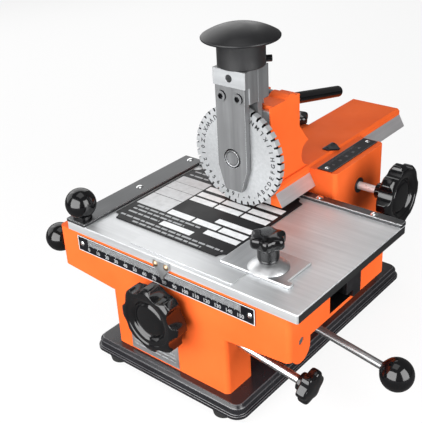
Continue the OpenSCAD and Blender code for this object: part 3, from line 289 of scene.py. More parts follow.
FINISH = {
    "orange": enamel("orange_enamel", (0.80, 0.118, 0.022), (0.87, 0.140, 0.029), 0.60, 0.06, 0.1),
    # Paler, glossier orange for the castings' rounded edges: painted highlight.
    "orange_painted_highlight": enamel("orange_painted_highlight", (0.86, 0.17, 0.045), (0.90, 0.21, 0.065), 0.30, 0.04, 0.3),
    "base": enamel("black_enamel", (0.010, 0.010, 0.012), (0.018, 0.018, 0.021), 0.24, 0.06, 0.5),
    # Lighter black for the base's rounded edges: painted highlight.
    "base_painted_highlight": enamel("black_enamel_painted_highlight", (0.05, 0.05, 0.055), (0.08, 0.08, 0.085), 0.22, 0.04, 1.0),
    "table": ground_metal(
        "table_aluminium", (0.58, 0.59, 0.60), (0.78, 0.79, 0.80), 0.50, ALONG_X, 220, 0.04, metal=0.8
    ),
    # Near-white for the rounded edges of the table, rail, fence, side stop and fork plate: painted highlight.
    "painted_edge_highlight": plated("plated_painted_highlight", (0.90, 0.91, 0.92), 0.42),
    "stop": ground_metal("stop_steel", (0.46, 0.47, 0.48), (0.64, 0.65, 0.66), 0.42, ALONG_Y, 180, 0.06),
    # Steel of the rail, fence and rack; also painted shade on the table's right end.
    "rail": ground_metal("rail_steel_and_painted_shade", (0.085, 0.087, 0.09), (0.14, 0.143, 0.146), 0.40, ALONG_Y),
    "head": ground_metal("head_steel", (0.14, 0.143, 0.146), (0.23, 0.234, 0.24), 0.38, ALONG_Z, metal=0.35),
    # Lighter grey for the front of the press slide's top block: a rougher milled face with painted highlight
    # from the front lamp.
    "milled": ground_metal("milled_face_painted_highlight", (0.33, 0.34, 0.35), (0.45, 0.46, 0.47), 0.55, ALONG_X, metal=0.35),
    "wheel": ground_metal(
        "wheel_steel", (0.36, 0.37, 0.38), (0.50, 0.51, 0.52), 0.42, ALL_WAYS, 420, 0.05, "Y", 0.35
    ),
    "flank": ground_metal("milled_flank", (0.46, 0.45, 0.46), (0.64, 0.63, 0.64), 0.36, ALONG_Y, metal=0.6),
    # Blackened steel parts; also painted shade on the walls of the bed's slot and in the groove of the axle's
    # end.
    "dark": ground_metal("blackened_steel_and_painted_shade", (0.05, 0.05, 0.055), (0.10, 0.10, 0.11), 0.40, ALL_WAYS),
    # Black socket screws; also painted shade in the type wheel's gaps and in the fork plate's recess round
    # the axle.
    "socket": ground_metal("socket_screws_and_painted_shade", (0.03, 0.03, 0.033), (0.07, 0.07, 0.075), 0.26, ALL_WAYS),
    # Chrome parts; also a painted highlight on the rim of the axle's end.
    "chrome": plated("chrome_plate_and_painted_highlight", (0.86, 0.87, 0.88), 0.07),
    "satin_metal": plated("satin_plate", (0.80, 0.81, 0.82), 0.24),
    "rod": ground_metal(
        "drawn_rod", (0.24, 0.245, 0.25), (0.34, 0.345, 0.35), 0.32, ALL_WAYS, 300, 0.03, metal=0.8
    ),
    "shaft": ground_metal(
        "bright_shaft", (0.74, 0.75, 0.76), (0.88, 0.89, 0.90), 0.30, ALL_WAYS, 300, 0.03, metal=0.4
    ),
    "flange": ground_metal(
        "turned_flange", (0.62, 0.63, 0.64), (0.78, 0.79, 0.80), 0.36, ALL_WAYS, 300, 0.03
    ),
    "brass": plated("turned_brass", (0.80, 0.60, 0.28), 0.20),
    "copper": plated("dull_copper", (0.40, 0.30, 0.20), 0.34),
    "plastic": moulded("black_moulding", (0.002, 0.002, 0.0024), (0.004, 0.004, 0.0046), 0.09, gloss=0.6),
    "satin": moulded("satin_moulding", (0.006, 0.006, 0.007), (0.010, 0.010, 0.011), 0.36, gloss=0.4),
    "neck": moulded("polished_neck", (0.004, 0.004, 0.005), (0.007, 0.007, 0.008), 0.46, gloss=1.0),
    "rubber": moulded("foot_rubber", (0.012, 0.012, 0.012), (0.025, 0.025, 0.025), 0.75, 900),
    "scale": moulded("scale_black", (0.006, 0.006, 0.008), (0.012, 0.012, 0.015), 0.34, 1200, 0.12),
    "plate": moulded("plate_black", (0.006, 0.006, 0.007), (0.010, 0.010, 0.011), 0.42, 1200, 0.2),
    "pale": ground_metal("pale_sheet", (0.60, 0.61, 0.62), (0.74, 0.75, 0.76), 0.44, ALONG_X, 180, 0.04),
    "white_ink": printed("white_ink", (0.80, 0.81, 0.82), 0.5),
    "silver_ink": printed("silver_ink", (0.58, 0.59, 0.60), 0.5),
    "grey_ink": printed("grey_ink", (0.36, 0.37, 0.38), 0.5),
    "faint_ink": printed("faint_ink", (0.10, 0.10, 0.11), 0.5),
    "dark_ink": printed("dark_ink", (0.012, 0.012, 0.014), 0.5),
}


# Mesh helpers

X_AXIS, Y_AXIS, Z_AXIS = Vector((1, 0, 0)), Vector((0, 1, 0)), Vector((0, 0, 1))
WELD, ON_AXIS = 2e-6, 1e-6
FLAT, CREASE = math.radians(0.4), math.radians(30)
ALL_SMOOTH = 180


def new_piece(name, mesh, finish, body):
    """A new piece that rides on a body and takes the given finish."""
    mesh.materials.append(FINISH[finish])
    piece = bpy.data.objects.new(name, mesh)
    bpy.context.scene.collection.objects.link(piece)
    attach(piece, body)
    return piece


def mesh_from(bm, name, smooth_angle=35):
    mesh = bpy.data.meshes.new(name)
    bm.normal_update()
    bm.to_mesh(mesh)
    bm.free()
    mesh.shade_smooth()
    mesh.set_sharp_from_angle(angle=math.radians(smooth_angle))
    return mesh


def body_of(node):
    return NODES[node]["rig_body"]


def joint_named(name):
    return next(joint for joint in frame["joints"] if joint["name"] == name)


def paint(finish, *nodes):
    """Gives CAD nodes whose shape is right their finish."""
    for node in nodes:
        NODES[node].data.materials.clear()
        NODES[node].data.materials.append(FINISH[finish])


def soften(node, finish, width, segments=2, edge=None, others=(), pick=None):
    """Stands for a CAD node with the same solid, its edges rounded by width millimetres.

    edge names a finish for the rounded edges. pick tells of each face whether it takes the main finish, 0,
    or which of the others, from 1.
    """
    bm = bmesh.new()
    bm.from_mesh(NODES[node].data)
    bmesh.ops.remove_doubles(bm, verts=bm.verts, dist=WELD)
    bmesh.ops.dissolve_limit(bm, angle_limit=FLAT, verts=bm.verts, edges=bm.edges)
    bm.normal_update()
    for face in bm.faces:
        face.material_index = pick(face) if pick else 0
    name = node + "_finish"
    piece = new_piece(name, mesh_from(bm, name, ALL_SMOOTH), finish, body_of(node))
    for other in (*others, edge) if edge else others:
        piece.data.materials.append(FINISH[other])
    bevel = piece.modifiers.new("edges", "BEVEL")
    bevel.width = width * MM
    bevel.segments = segments
    bevel.limit_method = "ANGLE"
    bevel.angle_limit = CREASE
    if edge:
        bevel.material = len(piece.data.materials) - 1
    piece.modifiers.new("shading", "WEIGHTED_NORMAL")
    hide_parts(node)
    return piece


def lathe(profile, segments, shape=None):
    """Surface of revolution about Z from (radius, height, lobe share) points in millimetres.

    shape, if given, changes a point's radius by its share and angle.
    """
    bm = bmesh.new()
    rings = []
    for radius, height, share in profile:
        if radius < ON_AXIS:
            rings.append([bm.verts.new((0, 0, height * MM))])
            continue
        ring = []
        for k in range(segments):
            angle = 2 * math.pi * k / segments
            r = shape(radius, share, angle) if shape else radius
            ring.append(bm.verts.new((r * math.cos(angle) * MM, r * math.sin(angle) * MM, height * MM)))
        rings.append(ring)
    for low, high in zip(rings, rings[1:]):
        for k in range(segments):
            j = (k + 1) % segments
            corners = [low[k % len(low)], low[j % len(low)], high[j % len(high)], high[k % len(high)]]
            bm.faces.new(list(dict.fromkeys(corners)))
    for ring, flip in ((rings[0], True), (rings[-1], False)):
        if len(ring) > 1:
            bm.faces.new(list(reversed(ring)) if flip else ring)
    return bm


def arc(centre, radius, start, end, count):
    """Points along a circular arc, as lathe profile points."""
    angles = [math.radians(start + (end - start) * k / (count - 1)) for k in range(count)]
    return [(centre[0] + radius * math.cos(a), centre[1] + radius * math.sin(a), 0) for a in angles]


def axis_frame(point, axis):
    """Places a piece made about Z at a point, with Z along axis."""
    return Matrix.Translation(point) @ Vector(axis).to_track_quat("Z", "Y").to_matrix().to_4x4()


def turned(node, name, bm, place, finish="plastic", smooth_angle=40, levels=0):
    """A turned or moulded piece, made about Z, that stands for a CAD node."""
    bm.transform(place)
    piece = new_piece(name, mesh_from(bm, name, smooth_angle), finish, body_of(node))
    if levels:
        piece.modifiers.new("smooth", "SUBSURF").levels = levels
        piece.modifiers["smooth"].render_levels = levels
    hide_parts(node)
    return piece


def add_slab(bm, corner, across, up, normal, thickness):
    """A thin raised rectangle from its corner along two edge vectors, standing out along normal."""
    bottom = [corner, corner + across, corner + across + up, corner + up]
    top = [p + normal * thickness for p in bottom]
    low = [bm.verts.new(p) for p in bottom]
    high = [bm.verts.new(p) for p in top]
    bm.faces.new(high)
    for k in range(4):
        bm.faces.new((low[k], low[(k + 1) % 4], high[(k + 1) % 4], high[k]))
    bm.faces.new(list(reversed(low)))


LETTER_CACHE = {}
LETTER_WEIGHT = 0.026
LETTER_HALF_DEPTH = 0.5
LETTER_CURVE_STEPS = 3


def letter_mesh(text):
    """Mesh of a short text, one unit high and thick, centred on its own middle."""
    if text not in LETTER_CACHE:
        curve = bpy.data.curves.new("letter", "FONT")
        curve.body = text
        curve.align_x, curve.align_y = "CENTER", "CENTER"
        curve.resolution_u = LETTER_CURVE_STEPS
        curve.offset = LETTER_WEIGHT
        curve.extrude = LETTER_HALF_DEPTH
        holder = bpy.data.objects.new("letter", curve)
        bpy.context.scene.collection.objects.link(holder)
        bpy.context.view_layer.update()
        solid = holder.evaluated_get(bpy.context.evaluated_depsgraph_get())
        LETTER_CACHE[text] = bpy.data.meshes.new_from_object(solid)
        bpy.data.objects.remove(holder)
        bpy.data.curves.remove(curve)
    return LETTER_CACHE[text]


def add_letter(bm, text, size, middle, right, up, proud):
    """Adds a text of the given height in millimetres, its face proud millimetres above middle."""
    normal = right.cross(up)
    scale = Matrix.Diagonal((size * MM, size * MM, proud * MM, 1))
    turn = Matrix((right, up, normal)).transposed().to_4x4()
    place = Matrix.Translation(middle + normal * proud * MM / 2) @ turn @ scale
    start = len(bm.verts)
    bm.from_mesh(letter_mesh(text))
    bm.verts.ensure_lookup_table()
    bmesh.ops.transform(bm, matrix=place, verts=bm.verts[start:])


# Castings, base and plain metal parts

# Least share of a face's normal that lies along a direction, for a face that looks that way
FACING = 0.9
FLANK_OUT, FLANK_UP = 0.6, (0.2, 0.65)
FLANK_TOP = 130


def on_flank(face):
    """1 on the dovetail's bare flanks, which lean out below the arm's painted cap."""
    leaning = abs(face.normal.x) > FLANK_OUT and FLANK_UP[0] < face.normal.z < FLANK_UP[1]
    return int(leaning and face.calc_center_median().z < FLANK_TOP * MM)


SLOT_FRONT, SLOT_BACK = -24, 16
SLOT_BOTTOM, SLOT_TOP = 83, 106
SLOT_WALL = 0.5


def on_slot(face):
    """1 on the walls of the slot along which the table's slide bar runs, which take the dark finish as
    painted shade.
    """
    middle = (face.calc_center_median() - ORIGIN) / MM
    inside = SLOT_FRONT < middle.y < SLOT_BACK and SLOT_BOTTOM < middle.z < SLOT_TOP
    return int(inside and abs(face.normal.x) < SLOT_WALL)


def dress_castings():
    # The base's rounded edges take a lighter black as painted highlight.
    soften("base_plate", "base", 0.5, edge="base_painted_highlight")
    # The bed's and the column's rounded edges take a paler orange as painted highlight.
    soften("bed_casting", "orange", 1.1, 3, edge="orange_painted_highlight", others=("dark",), pick=on_slot)
    soften("rear_support", "orange", 0.8)
    soften("rear_column", "orange", 1.3, 3, edge="orange_painted_highlight")
    soften("arm_casting", "orange", 0.7, 3, others=("flank",), pick=on_flank)
    paint("rubber", "rubber_feet")


def on_right_side(face):
    """1 on faces that look to the right, which on the table take the darker rail finish as painted shade."""
    return int(face.normal.x > FACING)


def dress_table():
    # The rounded edges of the table, rail, fence and side stop take near-white as painted highlight.
    soften("table_plate", "table", 0.4, edge="painted_edge_highlight", others=("rail",), pick=on_right_side)
    soften("left_rail", "rail", 0.35, edge="painted_edge_highlight")
    soften("rear_fence", "rail", 0.35, edge="painted_edge_highlight")
    soften("side_stop", "stop", 0.3, edge="painted_edge_highlight")
    soften("slide_bar", "dark", 0.5)
    soften("slide_gib", "dark", 0.4)
    soften("table_pointer", "stop", 0.2)
    soften("locating_strip", "pale", 0.12)
    soften("nameplate", "plate", 0.15)
    paint("rail", "table_rack")
    paint("chrome", "table_screws", "scale_rivets")
    soften("clamp_flange", "flange", 0.3)
    paint("copper", "pointer_screws")
    paint("dark", "clamp_stud")


BLOCK_BOTTOM = 205
AXLE_RIM, AXLE_RING = 6.1, 5.4
AXLE_RELIEF = 8.1
TYPE_ROOT, TYPE_TIP = 34, 40.1
TYPE_WALL = 0.3
SCREW_FACE = 0.1


def on_block_front(face):
    """1 on the milled front of the press slide's top block, whose lighter grey is painted highlight."""
    return int(face.normal.y < -FACING and face.calc_center_median().z > BLOCK_BOTTOM * MM)


def from_axle(face):
    """Distance in millimetres from the wheel's axis to the farthest corner of a face."""
    axis = joint_named("wheel_turn")["pos_m"]
    return max(math.hypot(v.co.x - axis[0], v.co.z - axis[2]) for v in face.verts) / MM


def on_axle_end(face):
    """1 in the groove round the axle's end, painted dark as shade, 2 on the rim outside it, painted bright as
    a highlight, 0 elsewhere.
    """
    outer = from_axle(face)
    if face.normal.y > -FACING or outer < AXLE_RING:
        return 0
    return 2 if outer > AXLE_RIM else 1


def on_axle_relief(face):
    """1 in the recess of the fork plate round the axle, painted near-black as shade."""
    return int(from_axle(face) < AXLE_RELIEF)


def on_type_gap(face):
    """1 in the gaps between the type blocks, painted near-black as shade."""
    from_axis = face.calc_center_median() - Vector(joint_named("wheel_turn")["pos_m"])
    radius = math.hypot(from_axis.x, from_axis.z) / MM
    return int(abs(face.normal.y) < TYPE_WALL and TYPE_ROOT < radius < TYPE_TIP)


def on_screw_face(face):
    """1 on the rings round the sockets of the fork plate's screws, painted lighter than the black heads as a
    highlight.
    """
    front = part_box("fork_screws")[0].y
    return int(face.normal.y < -FACING and face.calc_center_median().y < front + SCREW_FACE * MM)


SPRING_TURNS, SPRING_STEPS = 9, 20
WIRE_R, WIRE_SIDES = 0.5, 8


def wind_spring():
    """The return spring as a coil in the room of its solid."""
    low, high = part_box("return_spring")
    middle = (low + high) / 2
    wire = WIRE_R * MM
    radius = (high.x - low.x) / 2 - wire
    count = SPRING_TURNS * SPRING_STEPS
    turns = [2 * math.pi * side / WIRE_SIDES for side in range(WIRE_SIDES)]
    bm = bmesh.new()
    rings = []
    for k in range(count + 1):
        out = direction(2 * math.pi * k / SPRING_STEPS, 0)
        height = low.z + wire + (high.z - low.z - 2 * wire) * k / count
        centre = Vector((middle.x, middle.y, height)) + out * radius
        around = [(out * math.cos(t) + Z_AXIS * math.sin(t)) * wire for t in turns]
        rings.append([bm.verts.new(centre + offset) for offset in around])
    for ring, following in zip(rings, rings[1:]):
        for side in range(WIRE_SIDES):
            after = (side + 1) % WIRE_SIDES
            bm.faces.new((ring[side], following[side], following[after], ring[after]))
    bm.faces.new(rings[0])
    bm.faces.new(list(reversed(rings[-1])))
    bmesh.ops.recalc_face_normals(bm, faces=bm.faces)
    coil = turned("return_spring", "return_spring_coil", bm, Matrix.Identity(4), "satin_metal")
    travel = max(joint_named("head_press")["range_m"])
    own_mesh(coil)


def dress_head():
    # The top block's front is painted lighter as a highlight.
    soften("press_slide", "head", 0.5, others=("milled",), pick=on_block_front)
    # The fork plate's rounded edges take near-white as painted highlight.
    soften("fork_plate", "head", 0.4, 3, edge="painted_edge_highlight", others=("socket",), pick=on_axle_relief)
    soften("guide_plate", "pale", 0.3)
    soften("type_wheel", "wheel", 0.2, others=("socket",), pick=on_type_gap)
    soften("wheel_axle", "head", 0.12, others=("dark", "chrome"), pick=on_axle_end)
    soften("fork_screws", "socket", 0.5, others=("head",), pick=on_screw_face)
    paint("brass", "index_plunger", "clamp_pad")
    paint("head", "arm_rack")
    wind_spring()
    paint("dark", "lever_pin", "clamp_lever", "arm_pointer_screws")
    soften("arm_pointer", "scale", 0.2)
    soften("knob_lock_screw", "plastic", 0.5)


def dress_drive():
    paint("dark", "traverse_pinion", "feed_pinion", "ratchet_wheel", "feed_bushes")
    paint("rod", "step_lever")
    paint("chrome", "traverse_shaft", "stop_rod")
    paint("satin_metal", "adjuster_rod")
    paint("shaft", "feed_shaft")
    paint("brass", "traverse_bushes")
    soften("lever_grip", "plastic", 0.8, 3)


# Knobs

TRAVERSE_T, FEED_T = 15.5, 12.5
KNOB_LOBES = 8
KNOB_STEPS = 256
KNOB_SMOOTH = 42
SCALLOP_R, SCALLOP_OUT, SCALLOP_BLEND = 0.34, 0.5, 0.7
ROUND_STEPS = 4
KNOB_BORE, KNOB_BOSS, BOSS_ROUND = 3.4, 0.24, 0.6

# Profile of a hand knob, as shares of its radius with heights above its rear
KNOB_FLARE = ((0.80, 0.05), (0.885, 0.2), (0.915, 0.7))
KNOB_REAR = ((0.985, 2.0), (1, 2.9))
# The same with depths below its face
KNOB_FRONT = ((1, 4.2), (0.985, 2.8), (0.94, 1.3), (0.87, 0.3), (0.80, 0))
KNOB_LIP = ((0.755, 0.05), (0.735, 0.3), (0.715, 0.75), (0.68, 1))
KNOB_RING = ((0.61, 1.3), (0.57, 2.1), (0.535, 3.2), (0.51, 3.6))
KNOB_CAP = ((0.48, 3.3), (0.44, 2.6), (0.36, 2.1), (0.16, 1.9))
KNOB_MIDDLE = 1.85


def scalloped(outer):
    """Shape of a rim cut by round scallops; each point stays inside the scallops' walls."""
    cut_r = outer * SCALLOP_R
    cut_at = outer + cut_r * SCALLOP_OUT
    step = 2 * math.pi / KNOB_LOBES

    def shape(radius, share, angle):
        off = (angle / step % 1 - 0.5) * step
        reach = cut_r ** 2 - (cut_at * math.sin(off)) ** 2
        if share == 0 or reach <= 0:
            return radius
        wall = cut_at * math.cos(off) - math.sqrt(reach)
        near = max(SCALLOP_BLEND - abs(radius - wall), 0) / SCALLOP_BLEND
        return min(radius, wall) - near * near * SCALLOP_BLEND / 4

    return shape


def rounded(points):
    """Denser profile along a smooth curve through points."""
    out = [points[0]]
    for k in range(len(points) - 1):
        p = [Vector(points[min(max(k + i, 0), len(points) - 1)]) for i in (-1, 0, 1, 2)]
        for n in range(1, ROUND_STEPS + 1):
            t = n / ROUND_STEPS
            q = 0.5 * (2 * p[1] + (p[2] - p[0]) * t + (2 * p[0] - 5 * p[1] + 4 * p[2] - p[3]) * t ** 2
                       + (3 * p[1] - p[0] - 3 * p[2] + p[3]) * t ** 3)
            out.append((max(q.x, 0), q.y, 1.0 if q.z > 0.5 else 0.0))
    return out


def hand_knob(node, axis, back, t):
    """Scalloped hand knob with a dished face; back is the middle of its rear rim, axis points at the user."""
    low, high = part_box(node)
    spans = sorted((high - low) / MM)
    r = spans[2] / 2
    boss_r, boss_back = r * KNOB_BOSS, spans[0] - t
    profile = [
        (KNOB_BORE, -boss_back, 0), (boss_r - BOSS_ROUND, -boss_back, 0), (boss_r, BOSS_ROUND - boss_back, 0),
        (boss_r, -BOSS_ROUND, 0), (boss_r + BOSS_ROUND, 0, 0),
    ]
    profile += [(r * share, height, 1) for share, height in KNOB_FLARE]
    rear = [(r * share, height, 1) for share, height in KNOB_REAR]
    front = [(r * share, t - depth, 1) for share, depth in KNOB_FRONT]
    profile += rounded(rear + front)
    for dish in (KNOB_LIP, KNOB_RING, KNOB_CAP):
        profile += rounded([(r * share, t - depth, 0) for share, depth in dish])
    profile.append((0, t - KNOB_MIDDLE, 0))
    bm = lathe(profile, KNOB_STEPS, scalloped(r))
    turned(node, node + "_moulding", bm, axis_frame(back, axis), smooth_angle=KNOB_SMOOTH)


STAR_LOBES = 6
STAR_DEPTH = 0.17
STAR_STEPS = 96


def starred(radius, share, angle):
    return radius * (1 - share * (0.5 - 0.5 * math.cos(STAR_LOBES * angle)))


def star_points(radius, t, bottom):
    """Profile of a star knob's head, t thick, from its underside up."""
    share = STAR_DEPTH
    return [(radius * 0.66, bottom, share * 0.4), (radius * 0.92, bottom + 0.2, share),
            (radius * 0.985, bottom + 0.9, share), (radius, bottom + t * 0.4, share),
            (radius * 0.99, bottom + t * 0.68, share), (radius * 0.95, bottom + t * 0.82, share),
            (radius * 0.85, bottom + t * 0.89, share * 0.9), (radius * 0.66, bottom + t * 0.93, share * 0.45),
            (radius * 0.52, bottom + t * 0.97, 0.05), (radius * 0.34, bottom + t, 0), (0, bottom + t, 0)]


def star_knob(node, stem, star, place):
    """Star knob from the profile of its stem and its star's radius, thickness and underside."""
    bm = lathe(stem + star_points(*star), STAR_STEPS, starred)
    turned(node, node + "_moulding", bm, place, levels=1)


STAR_R, STAR_T = 13.2, 9
STEM_R, STEM_BORE = 7.9, 4.2
ADJUSTER_L = 57.4
ADJUSTER_NECK_R, ADJUSTER_NECK_L, ADJUSTER_BORE = STEM_R - 1, 4, 3.4
LOCK_R, LOCK_T = 14, 8
LOCK_STUD_R, LOCK_STUD_L = 3, 16


def dress_knobs():
    axle = joint_named("traverse_turn")["pos_m"]
    low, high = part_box("traverse_knob")
    hand_knob("traverse_knob", -Y_AXIS, Vector((axle[0], low.y + TRAVERSE_T * MM, axle[2])), TRAVERSE_T)
    axle = joint_named("line_feed_turn")["pos_m"]
    low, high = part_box("feed_knob")
    hand_knob("feed_knob", X_AXIS, Vector((high.x - FEED_T * MM, axle[1], axle[2])), FEED_T)

    stud = joint_named("clamp_turn")["pos_m"]
    low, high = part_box("clamp_knob")
    star_z = (high.z - low.z) / MM - STAR_T
    stem = [(STEM_BORE, 0, 0), (STEM_R - 1.6, 0, 0), (STEM_R - 0.5, 0.5, 0), (STEM_R, 1.6, 0),
            (STEM_R, star_z - 0.5, 0)]
    place = Matrix.Translation((stud[0], stud[1], low.z))
    star_knob("clamp_knob", stem, (STAR_R, STAR_T, star_z), place)

    adjuster = joint_named("adjuster_turn")
    axis = Vector(adjuster["axis"])
    neck = [(ADJUSTER_BORE, -ADJUSTER_NECK_L, 0), (ADJUSTER_NECK_R - 0.4, -ADJUSTER_NECK_L, 0),
            (ADJUSTER_NECK_R, 0.5 - ADJUSTER_NECK_L, 0), (ADJUSTER_NECK_R, -0.4, 0)]
    place = axis_frame(Vector(adjuster["pos_m"]) + axis * ADJUSTER_L * MM, axis)
    star_knob("adjuster_knob", neck, (STAR_R, STAR_T, 0), place)

    stud = joint_named("arm_lock_turn")["pos_m"]
    low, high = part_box("arm_lock_knob")
    shank = [(0, 0, 0), (LOCK_STUD_R, 0, 0), (LOCK_STUD_R, LOCK_STUD_L, 0)]
    place = Matrix.Translation((stud[0], stud[1], low.z))
    star_knob("arm_lock_knob", shank, (LOCK_R, LOCK_T, (high.z - low.z) / MM - LOCK_T), place)


BALL_R = 12.25
BALL_STEPS, BALL_RINGS = 64, 40
BALL_FLAT = 0.6
RAIL_NECK, RAIL_COLLAR, RAIL_COLLAR_H = 0.6, 0.3, 0.8
COLLAR_R, COLLAR_BORE, COLLAR_ROUND = 5, 3.1, 0.5
LEVER_SLOPE = math.radians(9.7)
LEVER_AXIS = Vector((math.cos(LEVER_SLOPE), 0, -math.sin(LEVER_SLOPE)))


def ball_arc(centre, neck_r):
    """Profile of a ball from its neck to its pole."""
    return arc((0, centre), BALL_R, -math.degrees(math.acos(neck_r / BALL_R)), 90, BALL_RINGS)


def ball_centre(node):
    low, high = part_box(node)
    ball = BALL_R * MM
    if node == "stop_ball":
        return Vector((low.x + ball, (low.y + high.y) / 2, (low.z + high.z) / 2))
    return Vector((high.x - ball, (low.y + high.y) / 2, low.z + ball))


def dress_balls():
    low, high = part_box("rail_knob")
    middle = (low + high) / 2
    neck_r = BALL_R * RAIL_NECK
    collar_r = neck_r + RAIL_COLLAR
    profile = [(0, 0, 0), (collar_r, 0, 0), (collar_r, RAIL_COLLAR_H, 0)]
    profile += ball_arc((high.z - low.z) / MM - BALL_R, neck_r)
    place = Matrix.Translation((middle.x, middle.y, low.z))
    turned("rail_knob", "rail_knob_moulding", lathe(profile, BALL_STEPS), place)

    end = BALL_FLAT - BALL_R
    profile = [(COLLAR_BORE, end, 0), (COLLAR_R - COLLAR_ROUND, end, 0), (COLLAR_R, end + COLLAR_ROUND, 0)]
    profile += ball_arc(0, COLLAR_R)
    for node, axis in (("stop_ball", -X_AXIS), ("step_lever_ball", LEVER_AXIS)):
        turned(node, node + "_moulding", lathe(profile, BALL_STEPS), axis_frame(ball_centre(node), axis))


NECK_R, NECK_TOP = 18, 20
RIM_Z, RIM_ROUND, RIM_EDGE = 21.47, 1.1, 0.5
DOME_INSET = 0.6
CAP_STEPS, DOME_RINGS, RIM_RINGS = 128, 26, 6
CAP_SMOOTH = 60


def dress_press_knob():
    """Mushroom knob with a satin cap on a polished neck."""
    low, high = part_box("press_knob")
    middle = (low + high) / 2
    cap_r, tall = (high.x - low.x) / 2 / MM, (high.z - low.z) / MM
    dome_h = tall - RIM_Z - RIM_EDGE
    dome_r = (cap_r ** 2 + dome_h ** 2) / (2 * dome_h)
    half_angle = math.degrees(math.asin((cap_r - DOME_INSET) / dome_r))
    profile = [(0, 0, 0), (NECK_R - 0.8, 0, 0), (NECK_R - 0.2, 0.3, 0), (NECK_R, 1, 0),
               (NECK_R, NECK_TOP - 0.4, 0), (NECK_R + 0.4, NECK_TOP, 0)]
    profile += arc((cap_r - RIM_ROUND, NECK_TOP + RIM_ROUND), RIM_ROUND, -90, 0, RIM_RINGS)
    profile.append((cap_r, RIM_Z + 0.1, 0))
    profile += arc((0, tall - dome_r), dome_r, 90 - half_angle, 90, DOME_RINGS)
    place = Matrix.Translation((middle.x, middle.y, low.z))
    bm = lathe(profile, CAP_STEPS)
    piece = turned("press_knob", "press_knob_moulding", bm, place, "satin", smooth_angle=CAP_SMOOTH)
    piece.data.materials.append(FINISH["neck"])
    for face in piece.data.polygons:
        face.material_index = int(face.center.z < low.z + NECK_TOP * MM)


# Printed scales and lettering

INK = 0.06
SCALE_MARGIN, SCALE_STEP = 12, 10
FRONT_BORDER, FRONT_TOP = 0.7, 1.2
FRONT_TICKS, FRONT_TICK_W = (6.2, 5.5, 5.0), 0.3
FRONT_DIGIT, FRONT_DIGIT_DOWN = 4.2, 8.8
COLUMN_BORDER, COLUMN_SIDE = 0.4, 1.2
COLUMN_TICKS, COLUMN_TICK_W = (3.6, 2.9, 2.2), 0.2
COLUMN_DIGIT, COLUMN_DIGIT_IN = 3.2, 6.6


def print_piece(name, bm, ink, body="frame"):
    new_piece(name, mesh_from(bm, name), ink, body)


def scale_border(bm, corner, across, up, normal, width):
    """Thin frame just inside a scale's edge."""
    over, rise = across.normalized() * width * MM, up.normalized() * width * MM
    inner = up - 2 * rise
    add_slab(bm, corner, across, rise, normal, INK * MM)
    add_slab(bm, corner + up - rise, across, rise, normal, INK * MM)
    add_slab(bm, corner + rise, over, inner, normal, INK * MM)
    add_slab(bm, corner + across - over + rise, over, inner, normal, INK * MM)


def scale_ticks(bm, zero, along, down, normal, count, lengths, width):
    """Millimetre ticks that hang from a line; lengths are those of the tenth, the fifth and the others."""
    width = width * MM
    for k in range(count + 1):
        length = lengths[0] if k % 10 == 0 else lengths[1] if k % 5 == 0 else lengths[2]
        start = zero + along * (k * MM) - along * width / 2
        add_slab(bm, start + down * length * MM, along * width, -down * length * MM, normal, INK * MM)


def scale_length(span):
    """Whole steps that fit between a scale's margins, in millimetres."""
    return int((span / MM - 2 * SCALE_MARGIN) // SCALE_STEP) * SCALE_STEP


def print_front_scale():
    low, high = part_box("front_scale")
    wide, tall = high.x - low.x, high.z - low.z
    bm = bmesh.new()
    scale_border(bm, low, X_AXIS * wide, Z_AXIS * tall, -Y_AXIS, FRONT_BORDER)
    count = scale_length(wide)
    zero = low + X_AXIS * SCALE_MARGIN * MM + Z_AXIS * (tall - FRONT_TOP * MM)
    scale_ticks(bm, zero, X_AXIS, -Z_AXIS, -Y_AXIS, count, FRONT_TICKS, FRONT_TICK_W)
    digits = bmesh.new()
    for k in range(0, count + 1, SCALE_STEP):
        middle = zero + X_AXIS * k * MM - Z_AXIS * FRONT_DIGIT_DOWN * MM
        add_letter(digits, str(k), FRONT_DIGIT, middle, X_AXIS, Z_AXIS, INK)
    print_piece("front_scale_print", bm, "silver_ink")
    print_piece("front_scale_digits", digits, "grey_ink")


def print_column_scale():
    low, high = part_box("column_scale")
    corner = Vector((low.x, low.y, high.z))
    wide, deep = high.x - low.x, high.y - low.y
    bm = bmesh.new()
    scale_border(bm, corner, X_AXIS * wide, Y_AXIS * deep, Z_AXIS, COLUMN_BORDER)
    count = scale_length(deep)
    zero = corner + Y_AXIS * SCALE_MARGIN * MM + X_AXIS * COLUMN_SIDE * MM
    scale_ticks(bm, zero, Y_AXIS, X_AXIS, Z_AXIS, count, COLUMN_TICKS, COLUMN_TICK_W)
    for k in range(0, count + 1, SCALE_STEP):
        middle = zero + Y_AXIS * k * MM + X_AXIS * COLUMN_DIGIT_IN * MM
        add_letter(bm, str(k), COLUMN_DIGIT, middle, Y_AXIS, -X_AXIS, INK)
    print_piece("column_scale_print", bm, "faint_ink")


BARS = (7, 4, 9, 5, 6)
BAR_GAP = 1.3


def bars(first, length):
    """Offsets and lengths of the short bars that stand for a line of print."""
    offset, count = 0, first
    while offset < length:
        bar = min(BARS[count % len(BARS)], length - offset)
        yield offset, bar
        offset += bar + BAR_GAP
        count += 1


DATA_ROW, DATA_ROW_H, DATA_MARGIN = 3.4, 0.9, 3


